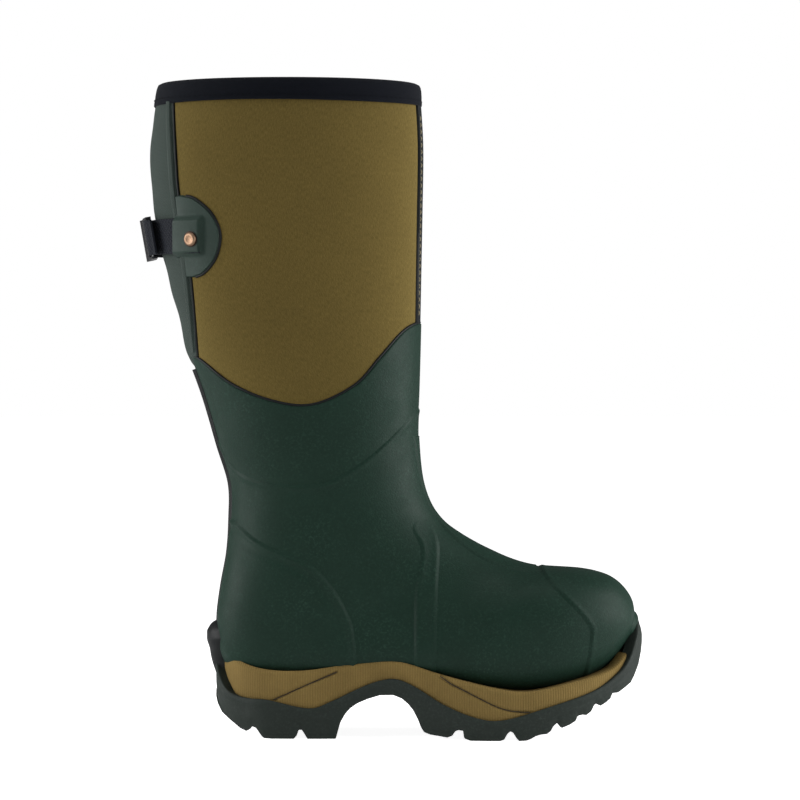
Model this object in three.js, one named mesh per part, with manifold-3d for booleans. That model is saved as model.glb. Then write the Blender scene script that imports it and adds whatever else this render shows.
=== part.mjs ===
// A knee-high insulated hunting boot for the right foot: a neoprene shaft with an adjustable rear gusset,
// a layered rubber foot, a foam midsole and a lugged outsole.
// Millimetres. +X points to the toe, +Y to the inner (medial) side, +Z up, and the lugs stand on Z = 0.
import * as THREE from "three";
import { mergeVertices } from "three/addons/utils/BufferGeometryUtils.js";
import Module from "manifold-3d";

const wasm = await Module();
wasm.setup();

// ---- Driving dimensions -------------------------------------------------------------------------
const TOP = 443.5; // height of the collar
const GAP = 0.3; // clearance between pieces that touch
const ABOVE = 30; // how far a cutter runs past the collar
const WIDE = 90; // half the width of a cutter that spans the boot
const SEGMENTS = 20; // sides of each section

// Layers, as distances outwards from the neoprene's outer face.
const NEOPRENE = 5;
const LINING = 1.5;
const NEOPRENE_INSIDE = -NEOPRENE;
const LINING_OUTSIDE = NEOPRENE_INSIDE - GAP;
const LINING_INSIDE = LINING_OUTSIDE - LINING;
const CUFF_OUTSIDE = 1.7;
const FOOT_OUTSIDE = 2.1;
const OVERLAY_INSIDE = FOOT_OUTSIDE + GAP;
const OVERLAY_OUTSIDE = OVERLAY_INSIDE + 1.1;
const GUSSET_INSIDE = -1;
const GUSSET_OUTSIDE = 0.8;
const STRIP_OUTSIDE = 2;
const STAY_OUTSIDE = 4.2;
const WEB = 1.4; // thickness of the webbing
const WEB_INSIDE = STRIP_OUTSIDE + GAP;
const WEB_OUTSIDE = WEB_INSIDE + WEB;
const TAB_OUTSIDE = STRIP_OUTSIDE;
const TAB_RAISED = WEB_OUTSIDE + GAP + 1.1;

// The strap across the back of the gusset.
const WEB_HEIGHT = 24;
const STRAP_Z = 340;

// Each section runs from the back or sole to the front or instep, square being 1 for an ellipse and less for
// a boxier end, and shift moving the section towards the inner side.
const SECTIONS = [
  { front: [17.2, TOP], back: [-160.4, TOP], half: 57.5, square: 0.95, shift: 0 },
  { front: [19.3, 405], back: [-166.6, 405], half: 57.5, square: 0.95, shift: 0 },
  { front: [19.1, 360], back: [-164.6, 360], half: 57, square: 0.95, shift: 0 },
  { front: [18.5, 315], back: [-155.2, 315], half: 55.5, square: 0.95, shift: 0 },
  { front: [17.6, 272], back: [-142, 272], half: 53, square: 0.93, shift: 0 },
  { front: [16.6, 236], back: [-127.9, 233], half: 49.5, square: 0.92, shift: 0 },
  { front: [15.5, 207], back: [-117.9, 199], half: 45.5, square: 0.9, shift: 0 },
  { front: [16.8, 184], back: [-109.8, 172], half: 42.5, square: 0.88, shift: 0 },
  { front: [19.8, 167], back: [-109.4, 147], half: 41, square: 0.85, shift: 0 },
  { front: [25.5, 154], back: [-110.9, 124], half: 40.5, square: 0.8, shift: 0 },
  { front: [34, 143.3], back: [-115, 101], half: 40, square: 0.74, shift: 0 },
  { front: [45, 135.2], back: [-117.5, 79], half: 39.5, square: 0.68, shift: 0 },
  { front: [57, 128.2], back: [-116, 58], half: 39, square: 0.65, shift: -0.5 },
  { front: [68, 122.8], back: [-106, 44.5], half: 38.5, square: 0.6, shift: -1 },
  { front: [78, 118.4], back: [-84, 41], half: 39, square: 0.56, shift: -1.5 },
  { front: [88, 115], back: [-52, 41.5], half: 40.5, square: 0.55, shift: -2 },
  { front: [98, 112.8], back: [-15, 42.5], half: 43.5, square: 0.55, shift: -2 },
  { front: [108, 112], back: [25, 38.5], half: 48, square: 0.55, shift: -1.5 },
  { front: [118, 111.4], back: [58, 32], half: 50, square: 0.56, shift: -1 },
  { front: [129, 110.5], back: [86, 30], half: 49.5, square: 0.58, shift: 0 },
  { front: [139.5, 108.5], back: [108, 32], half: 46.5, square: 0.62, shift: 1 },
  { front: [149, 105], back: [126, 37], half: 41.5, square: 0.68, shift: 2 },
  { front: [156.5, 99], back: [140, 44], half: 34.5, square: 0.75, shift: 2.5 },
  { front: [162, 90.8], back: [150, 53], half: 26, square: 0.85, shift: 3 },
  { front: [163.9, 81.5], back: [158, 63], half: 16, square: 0.95, shift: 3 },
];
const TOE_TIP = [165.5, 72];

// Side-view lines, from the back towards the toe.
const CUFF_EDGE = [[-150, 264], [-133, 258], [-109, 240], [-81, 228.5], [-54, 226], [-26, 239], [-9, 258],
  [8, 277], [24, 285]];
const FOOT_EDGE = [[-150, 222], [-123, 209], [-108, 184], [-84, 174], [-50, 173], [-27, 184], [-6, 201],
  [14, 222], [24, 233]];
const COUNTER_EDGE = [[-125, 152], [-107, 148], [-89, 134], [-56, 119], [-39, 102], [-29, 84], [-25, 71],
  [-22, 38]];
const TOE_CAP_EDGE = [[97, 125], [98, 117], [104, 104], [128, 79], [131, 66], [125, 30]];
const INSTEP_EDGE = [[11, 205], [18, 168], [30, 143], [52, 123], [73, 113], [99, 108]];
const GUSSET_EDGE = [[-149, TOP + ABOVE], [-149, 434], [-147, 391], [-145, 367], [-137, 313], [-132, 240]];
const MIDSOLE_TOP = [[-116, 60], [-107, 53], [-90, 47], [-60, 46], [-17, 52], [5, 52], [35, 43], [69, 35],
  [92, 33], [119, 38], [147, 46], [160, 57]];
const MIDSOLE_BOTTOM = [[-116, 46], [-111, 36], [-104, 28], [-84, 25.5], [-57, 20], [-41, 25], [-17, 36],
  [0, 40], [14, 35.5], [35, 23], [57, 14.5], [75, 13.5], [105, 22], [135, 32], [152, 43], [160, 53]];

// Plan outline of the midsole, round the outer side from the heel, and back along the inner side.
const SOLE_PLAN = [[-115.5, 0], [-109, -25], [-90, -39], [-60, -42], [-20, -41.5], [20, -47.5], [60, -55.5],
  [92, -55.5], [122, -49], [146, -36], [160, -20], [166.5, 2], [158, 24], [142, 40], [118, 49], [85, 52.5],
  [50, 50], [15, 42.5], [-20, 38.5], [-60, 40], [-90, 38.5], [-109, 25]];
const OUTSOLE_FLARE = 2;
const TOE_BUMPER = 5.2;
const HEEL_WRAP = 6.3;

// Buckle, in its own frame: along the strap from the keeper bar, out from the leg, and up.
const BUCKLE = { length: 31, inside: WEB_HEIGHT + 1.4, rail: 1.8, bar: 1.9, middle: 15, lean: 6, tilt: 10 };
const BUCKLE_SIDE = -10; // how far the keeper bar's foot lies to the outer side
const BUCKLE_OUT = 5.9; // how far the keeper bar stands off the neoprene's face

// ---- Materials ----------------------------------------------------------------------------------
const finish = (color, roughness, metalness = 0) =>
  new THREE.MeshStandardMaterial({ color, roughness, metalness });
const MATERIALS = {
  greenRubber: finish(0x22332d, 0.62),
  gussetFabric: finish(0x3a4a44, 0.7),
  blackRubber: finish(0x23282a, 0.7),
  neoprene: finish(0x6b5a30, 0.9),
  binding: finish(0x10121c, 0.8),
  webbing: finish(0x15171a, 0.8),
  plastic: finish(0x14161b, 0.3),
  foam: finish(0x8a744a, 0.75),
  lining: finish(0x2b2a29, 0.95),
  board: finish(0x8c7f6a, 0.9),
  steel: finish(0x9a9ea3, 0.35, 1),
  copper: finish(0xb98a6a, 0.3, 1),
};

// ---- Solids -------------------------------------------------------------------------------------
// A closed geometry as a manifold-3d solid.
function toSolid(geometry) {
  const bare = geometry.clone();
  for (const name of ["normal", "uv"]) bare.deleteAttribute(name);
  const merged = mergeVertices(bare, 1e-3);
  const triVerts = new Uint32Array(merged.index.array);
  const vertProperties = merged.attributes.position.array;
  return new wasm.Manifold(new wasm.Mesh({ numProp: 3, vertProperties, triVerts }));
}

// A manifold-3d solid as a geometry.
function toGeometry(solid) {
  const mesh = solid.getMesh();
  const geometry = new THREE.BufferGeometry();
  geometry.setAttribute("position", new THREE.BufferAttribute(mesh.vertProperties, 3));
  geometry.setIndex(new THREE.BufferAttribute(mesh.triVerts, 1));
  return geometry;
}

const curveThrough = (points, closed = false) =>
  new THREE.CatmullRomCurve3(points.map(([x, y, z = 0]) => new THREE.Vector3(x, y, z)), closed, "catmullrom");

// A smooth line through side or plan points, as [x, y] pairs.
const smooth = (points, pieces, closed = false) =>
  curveThrough(points, closed).getPoints(pieces).map((p) => [p.x, p.y]);

const shapeOf = (points) => new THREE.Shape(points.map(([x, y]) => new THREE.Vector2(x, y)));

// A side-view outline run across the boot from y0 to y1.
function sideways(points, y0 = -WIDE, y1 = WIDE) {
  const geometry = new THREE.ExtrudeGeometry(shapeOf(points), { depth: y1 - y0, bevelEnabled: false });
  return toSolid(geometry.rotateX(Math.PI / 2).translate(0, y1, 0));
}

// A plan outline run up from z0 to z1.
function upright(points, z0, z1) {
  const geometry = new THREE.ExtrudeGeometry(shapeOf(points), { depth: z1 - z0, bevelEnabled: false });
  return toSolid(geometry.translate(0, 0, z0));
}

function block(x0, x1, y0, y1, z0, z1) {
  const geometry = new THREE.BoxGeometry(x1 - x0, y1 - y0, z1 - z0);
  return toSolid(geometry.translate((x0 + x1) / 2, (y0 + y1) / 2, (z0 + z1) / 2));
}

// ---- The boot's own surface ---------------------------------------------------------------------
const LAST = SECTIONS.length - 1;
const frontLine = curveThrough(SECTIONS.map((s) => [...s.front, s.half]));
const backLine = curveThrough(SECTIONS.map((s) => [...s.back, s.square]));
const shiftLine = curveThrough(SECTIONS.map((s) => [s.shift, 0]));

// A point of the neoprene's outer face: section 0 is the collar and LAST the toe, and turn 0 is the front.
function surfacePoint(section, turn) {
  const at = THREE.MathUtils.clamp(section / LAST, 0, 1);
  const front = frontLine.getPoint(at);
  const back = backLine.getPoint(at);
  const ahead = Math.cos(turn);
  const aside = Math.sin(turn);
  const square = ahead > 0 ? THREE.MathUtils.lerp(1, back.z, 0.5) : back.z;
  const along = Math.sign(ahead) * Math.abs(ahead) ** square;
  const across = Math.sign(aside) * Math.abs(aside) ** square;
  const x = (front.x + back.x) / 2 + ((front.x - back.x) / 2) * along;
  const z = (front.y + back.y) / 2 + ((front.y - back.y) / 2) * along;
  return new THREE.Vector3(x, shiftLine.getPoint(at).x + front.z * across, z);
}

// The outward normal there.
function surfaceNormal(section, turn) {
  const step = 0.02;
  const high = surfacePoint(Math.max(section - step, 0), turn);
  const down = surfacePoint(Math.min(section + step, LAST), turn).sub(high);
  const round = surfacePoint(section, turn + step).sub(surfacePoint(section, turn - step));
  return round.cross(down).normalize().negate();
}

// The solid inside the boot's surface moved outwards by offset, with its flat top at the given height.
function lastSolid(offset, top = TOP) {
  const rings = [0, 1, 2, 3, 4, 5];
  for (let section = 6; section < LAST; section += 1.5) rings.push(section);
  const vertices = [];
  const ringAt = (section, height = null) => {
    for (let k = 0; k < SEGMENTS; k++) {
      const turn = (k / SEGMENTS) * 2 * Math.PI;
      const point = surfacePoint(section, turn).addScaledVector(surfaceNormal(section, turn), offset);
      vertices.push(point.x, point.y, height ?? point.z);
    }
  };
  if (top > TOP) ringAt(0, top);
  rings.forEach((section, i) => ringAt(section, i === 0 ? TOP : null));
  const count = vertices.length / 3 / SEGMENTS;
  const crown = vertices.length / 3;
  const middle = surfacePoint(0, 0).add(surfacePoint(0, Math.PI)).multiplyScalar(0.5);
  vertices.push(middle.x, 0, top);
  const toe = SECTIONS[LAST];
  vertices.push(TOE_TIP[0] + offset, toe.shift, TOE_TIP[1]);
  const faces = [];
  for (let k = 0; k < SEGMENTS; k++) {
    const next = (k + 1) % SEGMENTS;
    faces.push(crown, k, next);
    for (let i = 0; i < count - 1; i++) {
      const [row, below] = [i * SEGMENTS, (i + 1) * SEGMENTS];
      faces.push(row + k, below + k, row + next, row + next, below + k, below + next);
    }
    const end = (count - 1) * SEGMENTS;
    faces.push(end + k, crown + 1, end + next);
  }
  const geometry = new THREE.BufferGeometry();
  geometry.setAttribute("position", new THREE.Float32BufferAttribute(vertices, 3));
  geometry.setIndex(faces);
  return toSolid(geometry);
}

// The layer between two offsets, open at the top.
const layer = (inside, outside) => lastSolid(outside).subtract(lastSolid(inside, TOP + ABOVE));

// Where the surface is met from one side (+1 inner, -1 outer) at a side-view place, and which way it faces.
function sidePlace(x, z, side) {
  let best = { far: Infinity };
  for (let section = 0; section <= LAST; section += 0.05) {
    for (let turn = 0.05; turn < Math.PI; turn += 0.02) {
      const point = surfacePoint(section, side * turn);
      const far = Math.hypot(point.x - x, point.z - z);
      if (far < best.far) best = { far, point, normal: surfaceNormal(section, side * turn) };
    }
  }
  return best;
}

// ---- Regions ------------------------------------------------------------------------------------
const BEHIND = -200;
const AHEAD = 200;
const moved = (points, dx, dz = 0) => points.map(([x, z]) => [x + dx, z + dz]);

// The span across the boot on one side (+1 inner, -1 outer), clear of the middle.
const halfSpan = (side, clear) => (side > 0 ? [clear, WIDE] : [-WIDE, -clear]);

// Everything below a line that is moved down by drop.
function underLine(points, drop = 0) {
  const line = smooth(moved(points, 0, -drop), 28);
  const [rear, front] = [line[0][1], line.at(-1)[1]];
  return sideways([[BEHIND, -50], [AHEAD, -50], [AHEAD, front], ...line.reverse(), [BEHIND, rear]]);
}

// Everything behind a line that is moved forwards by dx.
function behindLine(points, dx, y0, y1) {
  const [first, last] = [points[0][1], points.at(-1)[1]];
  const outline = [[BEHIND, first], ...smooth(moved(points, dx), 16), [BEHIND, last]];
  return sideways(outline.reverse(), y0, y1);
}

// ---- Shaft --------------------------------------------------------------------------------------
const SHAFT_FOOT = 192; // where the shaft's neoprene meets the bootie's
const STRIP_WIDTH = 7.5;
const STRIP_LAP = 1; // how far the strip laps onto the shaft panel
const STRIP_FOOT = 266;
const TAPE_HALF = 14; // half the width of the front seam's tape
const BINDING_DROP = 14; // how far the collar's tape reaches down
const GUSSET_FOOT = 246;

const aboveHeight = (z) => block(BEHIND, AHEAD, -WIDE, WIDE, z, TOP + 2 * ABOVE);
const belowHeight = (z) => block(BEHIND, AHEAD, -WIDE, WIDE, -50, z);
const gussetZone = behindLine(GUSSET_EDGE, -GAP / 2).intersect(aboveHeight(GUSSET_FOOT));
const neopreneLayer = layer(NEOPRENE_INSIDE, 0);

function shaftPanel(side) {
  const [y0, y1] = halfSpan(side, GAP / 2);
  return neopreneLayer
    .intersect(block(BEHIND, AHEAD, y0, y1, -50, TOP + ABOVE))
    .intersect(aboveHeight(SHAFT_FOOT))
    .subtract(behindLine(GUSSET_EDGE, GAP / 2).intersect(aboveHeight(GUSSET_FOOT - GAP)));
}

const gusset = () =>
  layer(GUSSET_INSIDE, GUSSET_OUTSIDE).intersect(gussetZone).intersect(belowHeight(TOP - 1));

// Rubber edging over the seam between a shaft panel and the gusset.
function gussetStrip(side) {
  const [y0, y1] = halfSpan(side, 1);
  return layer(GUSSET_OUTSIDE + GAP, STRIP_OUTSIDE)
    .intersect(behindLine(GUSSET_EDGE, STRIP_LAP, y0, y1))
    .subtract(behindLine(GUSSET_EDGE, STRIP_LAP - STRIP_WIDTH, y0 - 1, y1 + 1))
    .intersect(block(BEHIND, AHEAD, y0, y1, STRIP_FOOT, TOP - BINDING_DROP - GAP));
}

function frontTape() {
  return layer(GAP, 1.3)
    .intersect(block(-20, AHEAD, -TAPE_HALF, TAPE_HALF, 285, TOP - BINDING_DROP - GAP))
    .subtract(underLine(CUFF_EDGE, -GAP));
}

// A solid run up by one clearance more.
const grown = (solid) => solid.add(solid.translate([0, 0, GAP]));

// A channel folded over the collar's edge.
function collarBinding() {
  const outer = lastSolid(OVERLAY_OUTSIDE, TOP + 2.6);
  const inner = lastSolid(LINING_INSIDE - GAP - 1.2, TOP + ABOVE);
  const channel = lastSolid(STRIP_OUTSIDE + GAP).subtract(lastSolid(LINING_INSIDE - GAP, TOP + ABOVE));
  return outer.subtract(inner).intersect(aboveHeight(TOP - BINDING_DROP)).subtract(grown(channel));
}

// ---- Rubber -------------------------------------------------------------------------------------
const cuff = () =>
  layer(GAP, CUFF_OUTSIDE)
    .intersect(underLine(CUFF_EDGE))
    .subtract(underLine(FOOT_EDGE, -GAP))
    .subtract(behindLine(GUSSET_EDGE, GAP).intersect(aboveHeight(GUSSET_FOOT - GAP)));
const footShell = () => layer(GAP, FOOT_OUTSIDE).intersect(underLine(FOOT_EDGE));
const overlay = layer(OVERLAY_INSIDE, OVERLAY_OUTSIDE);
const aboveSole = sideways([...smooth(moved(MIDSOLE_TOP, 0, GAP), 30), [AHEAD, 62], [AHEAD, 500],
  [BEHIND, 500], [BEHIND, 62]]);
const toeZone = (play) => sideways([...smooth(moved(TOE_CAP_EDGE, -play), 20), [AHEAD, 30], [AHEAD, 125]]);
const instepZone = (play) =>
  sideways([...smooth(moved(INSTEP_EDGE, 0, -play), 20), [99, 160], [60, 232], [11, 232]]);
const BACK_STAY_HALF = 7.5;

function heelCounter(side) {
  const [y0, y1] = halfSpan(side, BACK_STAY_HALF + GAP);
  const outline = [[BEHIND, 38], [BEHIND, 152], ...smooth(COUNTER_EDGE, 20)];
  return overlay.intersect(sideways(outline.reverse(), y0, y1)).intersect(aboveSole);
}

const toeCap = () => overlay.intersect(toeZone(0)).intersect(aboveSole);

const backStay = () =>
  layer(OVERLAY_INSIDE, STAY_OUTSIDE).intersect(block(BEHIND, -70, -BACK_STAY_HALF, BACK_STAY_HALF, 80, 244));

// The guard down the shin and instep, widening towards the toe cap.
const instepGuard = () => overlay.intersect(instepZone(0)).subtract(toeZone(GAP));

// One side's strap from the guard down to the midsole.
function instepStrap(side) {
  const [y0, y1] = halfSpan(side, 5);
  const band = [[13.5, 30], [13.5, 96], [16, 113], [17, 128], [11, 142], [18, 152], [31, 133], [31.5, 100],
    [30, 30]];
  return overlay.intersect(sideways(band.reverse(), y0, y1)).intersect(aboveSole).subtract(instepZone(GAP));
}

// ---- Inside -------------------------------------------------------------------------------------
const FOOTBED = 5;
const BOARD = 2;
const BOARD_END = 134;
const INSIDE_FLOOR = 7.2; // how far the lining's floor lies above the neoprene's outer face

// The foot cavity's bottom from low to high above the lining's floor.
function insideFloor(low, high) {
  const floor = SECTIONS.slice(12, 24).map((s) => [s.back[0], s.back[1] + INSIDE_FLOOR]);
  const under = smooth(moved(floor, 0, low), 24);
  const over = smooth(moved(floor, 0, high), 24);
  return lastSolid(LINING_INSIDE - GAP).intersect(sideways([...under, ...over.reverse()]));
}
const footbed = () => insideFloor(BOARD + GAP, BOARD + GAP + FOOTBED);
const insoleBoard = () => insideFloor(0, BOARD).intersect(block(BEHIND, BOARD_END, -WIDE, WIDE, 0, 90));
const bootie = () => neopreneLayer.intersect(belowHeight(SHAFT_FOOT - GAP));
const lining = () => layer(LINING_INSIDE, LINING_OUTSIDE).intersect(belowHeight(TOP - 1));

// ---- Sole ---------------------------------------------------------------------------------------
// The plan outline moved outwards by flare, further round the toe and the heel.
function solePlan(flare, toe = 0, heel = 0) {
  const curve = curveThrough(SOLE_PLAN, true);
  return Array.from({ length: 56 }, (_, k) => {
    const point = curve.getPoint(k / 56);
    const tangent = curve.getTangent(k / 56);
    const ahead = THREE.MathUtils.smoothstep(point.x, 110, 160);
    const behind = THREE.MathUtils.smoothstep(-point.x, 85, 112);
    const out = flare + toe * ahead + heel * behind;
    return [point.x + tangent.y * out, point.y - tangent.x * out];
  });
}

const SHANK = { x0: -62, x1: 22, half: 11, thick: 1.6 };
const shankLine = [[SHANK.x0, 33], [-40, 34], [-17, 35.5], [0, 35.5], [SHANK.x1, 33.5]];
function shankSolid() {
  const [under, over] = [0, SHANK.thick].map((up) => smooth(moved(shankLine, 0, up), 12));
  return sideways([...under, ...over.reverse()], -SHANK.half, SHANK.half);
}

// The slot that the shank lies in, open upwards.
function shankSlot() {
  const ends = [[SHANK.x1 + GAP, 60], [SHANK.x0 - GAP, 60]];
  const outline = [...smooth(moved(shankLine, 0, -GAP), 12), ...ends];
  return sideways(outline, -SHANK.half - GAP, SHANK.half + GAP);
}

function midsoleZone(play) {
  const outline = [...smooth(moved(MIDSOLE_BOTTOM, 0, -play), 36), ...smooth(MIDSOLE_TOP, 30).reverse()];
  return sideways(outline);
}
const midsole = () =>
  upright(solePlan(0), 0, 80)
    .intersect(midsoleZone(0))
    .subtract(lastSolid(OVERLAY_OUTSIDE + GAP))
    .subtract(shankSlot());

// Where the outsole climbs over the toe cap, and how thick it is there.
const BUMPER_EDGE = [[142, 44], [150, 52], [157, 66], [162, 78], [168, 85]];
const BUMPER = 2.2;
const BUMPER_HALF = 30;
function bumper() {
  const outline = [[142, 34], [AHEAD, 34], [AHEAD, 85], ...smooth(BUMPER_EDGE, 12).reverse()];
  return layer(OVERLAY_OUTSIDE + GAP, OVERLAY_OUTSIDE + GAP + BUMPER)
    .intersect(sideways(outline, -BUMPER_HALF, BUMPER_HALF + 4));
}

// The tread in side view: the spans of the lugs along X, and the height that each one's foot is raised to.
const HEEL_LUGS = [[-88, -66, 0], [-58, -38, 0]];
const BALL_LUGS = [[25, 45, 0], [50, 77, 0], [85, 103, 1.5], [113, 126, 9], [133, 145, 18], [150, 160, 29]];
const BALL_NOTCHES = [7, 8, 11, 20, 30]; // height of the notch after each lug

// The gap between two lugs, rising to a roof.
const notch = (from, to, roof) =>
  [[from[1], from[2]], [from[1] + 2.5, roof], [to[0] - 2, roof], [to[0], to[2]]];

function treadOutline() {
  const heelBack = [[-122.5, 46], [-122.5, 28], [-116.5, 16], [-108, 10], [-99.5, 5], [-95, 8.5]];
  const arch = [[-37, 10], [-32, 20], [-21, 26], [-9, 30], [0, 30], [8, 26], [17, 14], [20, 5]];
  const heel = [[HEEL_LUGS[0][0], 0], ...notch(...HEEL_LUGS, 10), [HEEL_LUGS[1][1], 0]];
  const ball = BALL_LUGS.slice(1).flatMap((lug, k) => notch(BALL_LUGS[k], lug, BALL_NOTCHES[k]));
  const toe = [[160, 31], [164, 40], [168, 52], [160, 58], [158.5, 52]];
  return [...heelBack, ...heel, ...arch, [BALL_LUGS[0][0], 0], ...ball, ...toe];
}

// The groove along the middle of the heel and of the ball, splitting each lug in two.
const treadGroove = () => block(-92, -34, -3, 3, -5, 7).add(block(22, 128, -4, 4, -5, 6));

function outsole() {
  const tread = sideways([...treadOutline(), ...smooth(moved(MIDSOLE_BOTTOM, 0, -GAP), 30).reverse()]);
  const plan = solePlan(OUTSOLE_FLARE, TOE_BUMPER - OUTSOLE_FLARE, HEEL_WRAP - OUTSOLE_FLARE);
  return upright(plan, -5, 90)
    .intersect(tread)
    .add(bumper())
    .subtract(upright(solePlan(GAP), 0, 100).intersect(midsoleZone(GAP)))
    .subtract(lastSolid(OVERLAY_OUTSIDE + GAP))
    .subtract(treadGroove())
    .subtract(shankSlot());
}

function kickSpur() {
  const outline = smooth([[-121, 46.5], [-124.5, 50], [-126, 56], [-127.8, 63], [-128.2, 68.5],
    [-126.5, 73.5], [-123, 77], [-115, 78.5], [-108, 74], [-108, 46.5]], 24);
  const plan = [[-132, -9], [-126, -13.5], [-105, -15], [-105, 15], [-126, 13.5], [-132, 9]];
  return sideways([[-108, 46.5], ...outline])
    .intersect(upright(plan, 46.5, 90))
    .subtract(lastSolid(STAY_OUTSIDE + GAP))
    .subtract(upright(solePlan(GAP), 0, 62));
}

// ---- Strap, tabs and buckle ---------------------------------------------------------------------
const RIVET = { x: -134, z: STRAP_Z - 2, head: 4.7, shank: 1.6, washer: 5.5 };
const COVER = { rear: -146, front: -125, end: -128, half: 16.5 };
function webZone(play, x0, x1, y0, y1) {
  const half = WEB_HEIGHT / 2 + play;
  return block(x0, x1, y0, y1, STRAP_Z - half, STRAP_Z + half);
}

// A surface of revolution about its own Y, from radii and distances outwards.
const turned = (profile) => new THREE.LatheGeometry(profile.map(([r, d]) => new THREE.Vector2(r, d)), 16);

// The rivets' places and axes, and the hole for one through the tab, panel and lining.
const rivetPlace = { 1: sidePlace(RIVET.x, RIVET.z, 1), "-1": sidePlace(RIVET.x, RIVET.z, -1) };
const OWN_AXIS = new THREE.Vector3(0, 1, 0);
const rivetTurn = (side) => new THREE.Quaternion().setFromUnitVectors(OWN_AXIS, rivetPlace[side].normal);
function rivetHole(side) {
  const geometry = turned([[0, -14], [RIVET.shank + GAP, -14], [RIVET.shank + GAP, 9], [0, 9]]);
  geometry.applyQuaternion(rivetTurn(side));
  return toSolid(geometry.translate(...rivetPlace[side].point.toArray()));
}
const WASHER_OUT = LINING_INSIDE - 1.7;
const RIVET_IN = WASHER_OUT - 2;
const rivet = () =>
  toSolid(turned([[0, RIVET_IN], [RIVET.shank, RIVET_IN], [RIVET.shank, TAB_RAISED + GAP],
    [RIVET.head, TAB_RAISED + GAP], [RIVET.head - 0.4, TAB_RAISED + 1.2], [RIVET.head / 2, TAB_RAISED + 1.9],
    [0, TAB_RAISED + 2.1]]));
const washer = () =>
  toSolid(turned([[RIVET.shank + GAP, WASHER_OUT - 1.1], [RIVET.washer, WASHER_OUT - 0.9],
    [RIVET.washer, WASHER_OUT], [RIVET.shank + GAP, WASHER_OUT], [RIVET.shank + GAP, WASHER_OUT - 1.1]]));

// The D tab: a half-round plate beside the strip, with a raised cover over the end of the webbing.
function dTab(side) {
  const [y0, y1] = halfSpan(side, 5);
  const front = [[-142, 367.5], [-133, 364.5], [-121.5, 354], [-116, 340], [-119, 325], [-127, 315],
    [-134, 312]];
  const plate = layer(GAP, TAB_OUTSIDE)
    .intersect(sideways([...smooth(front, 20), [-150, 312], [-150, 367.5]].reverse(), y0, y1))
    .subtract(behindLine(GUSSET_EDGE, STRIP_LAP + GAP));
  const onto = block(COVER.rear, COVER.front, y0, y1, STRAP_Z - COVER.half, STRAP_Z + COVER.half);
  const overStrip = behindLine(GUSSET_EDGE, STRIP_LAP + GAP).intersect(lastSolid(WEB_INSIDE, TOP + ABOVE));
  const cover = layer(GAP, TAB_RAISED).intersect(onto).subtract(overStrip);
  const pocket = layer(TAB_OUTSIDE, WEB_OUTSIDE + GAP).intersect(webZone(GAP, -170, COVER.end + GAP, y0, y1));
  return plate.add(cover).subtract(pocket).subtract(rivetHole(side));
}

// The place of a plan point at the strap's height: how far to the side, on which side, and how far out.
const strapSection = (() => {
  let section = 0;
  while (surfacePoint(section, 0).z > STRAP_Z) section += 0.01;
  return section;
})();
function aroundStrap(y, out) {
  let turn = Math.PI / 2;
  while (Math.abs(surfacePoint(strapSection, turn).y) > Math.abs(y)) turn += 0.002;
  turn *= Math.sign(y);
  return surfacePoint(strapSection, turn).addScaledVector(surfaceNormal(strapSection, turn), out);
}
const pivot = aroundStrap(BUCKLE_SIDE, BUCKLE_OUT);
const rad = THREE.MathUtils.degToRad;

// The buckle's frame, whose X runs along the strap, Y out and Z up, and a solid moved out of it.
const buckleFrame = new THREE.Group();
buckleFrame.position.set(pivot.x, pivot.y, STRAP_Z);
buckleFrame.rotation.set(rad(-BUCKLE.tilt), 0, rad(90 + BUCKLE.lean), "ZYX");
const fromBuckle = (solid) =>
  solid.rotate([-BUCKLE.tilt, 0, 90 + BUCKLE.lean]).translate([pivot.x, pivot.y, STRAP_Z]);
// The plan place of a point of the buckle's middle height.
function buckleToPlan([along, out]) {
  const turn = rad(90 + BUCKLE.lean);
  const [c, s] = [Math.cos(turn), Math.sin(turn)];
  return [pivot.x + c * along - s * out, pivot.y + s * along + c * out];
}

// A round bar on the frame's own Z.
const post = (radius, half) =>
  toSolid(new THREE.CylinderGeometry(radius, radius, 2 * half, 14).rotateX(Math.PI / 2));

// A drawn outline in the buckle's frame, run up from bottom to top.
function plate(outline, bottom, top) {
  const geometry = new THREE.ExtrudeGeometry(shapeOf(outline), { depth: top - bottom, bevelEnabled: false });
  return toSolid(geometry.translate(0, 0, bottom));
}

// Webbing on edge along a plan line, leaning with the back of the leg.
function ribbon(line) {
  const run = curveThrough(line);
  const at = Array.from({ length: 15 }, (_, k) => k / 14);
  const side = (out) => at.map((t) => {
    const [p, d] = [run.getPoint(t), run.getTangent(t)];
    return [p.x + d.y * out, p.y - d.x * out];
  });
  const outline = [...side(WEB / 2), ...side(-WEB / 2).reverse()];
  const geometry = new THREE.ExtrudeGeometry(shapeOf(outline), { depth: WEB_HEIGHT, bevelEnabled: false });
  geometry.translate(0, 0, -WEB_HEIGHT / 2);
  geometry.applyMatrix4(new THREE.Matrix4().makeShear(0, 0, 0, 0, -Math.tan(rad(BUCKLE.tilt)), 0));
  return toSolid(geometry.translate(0, 0, STRAP_Z));
}

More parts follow.
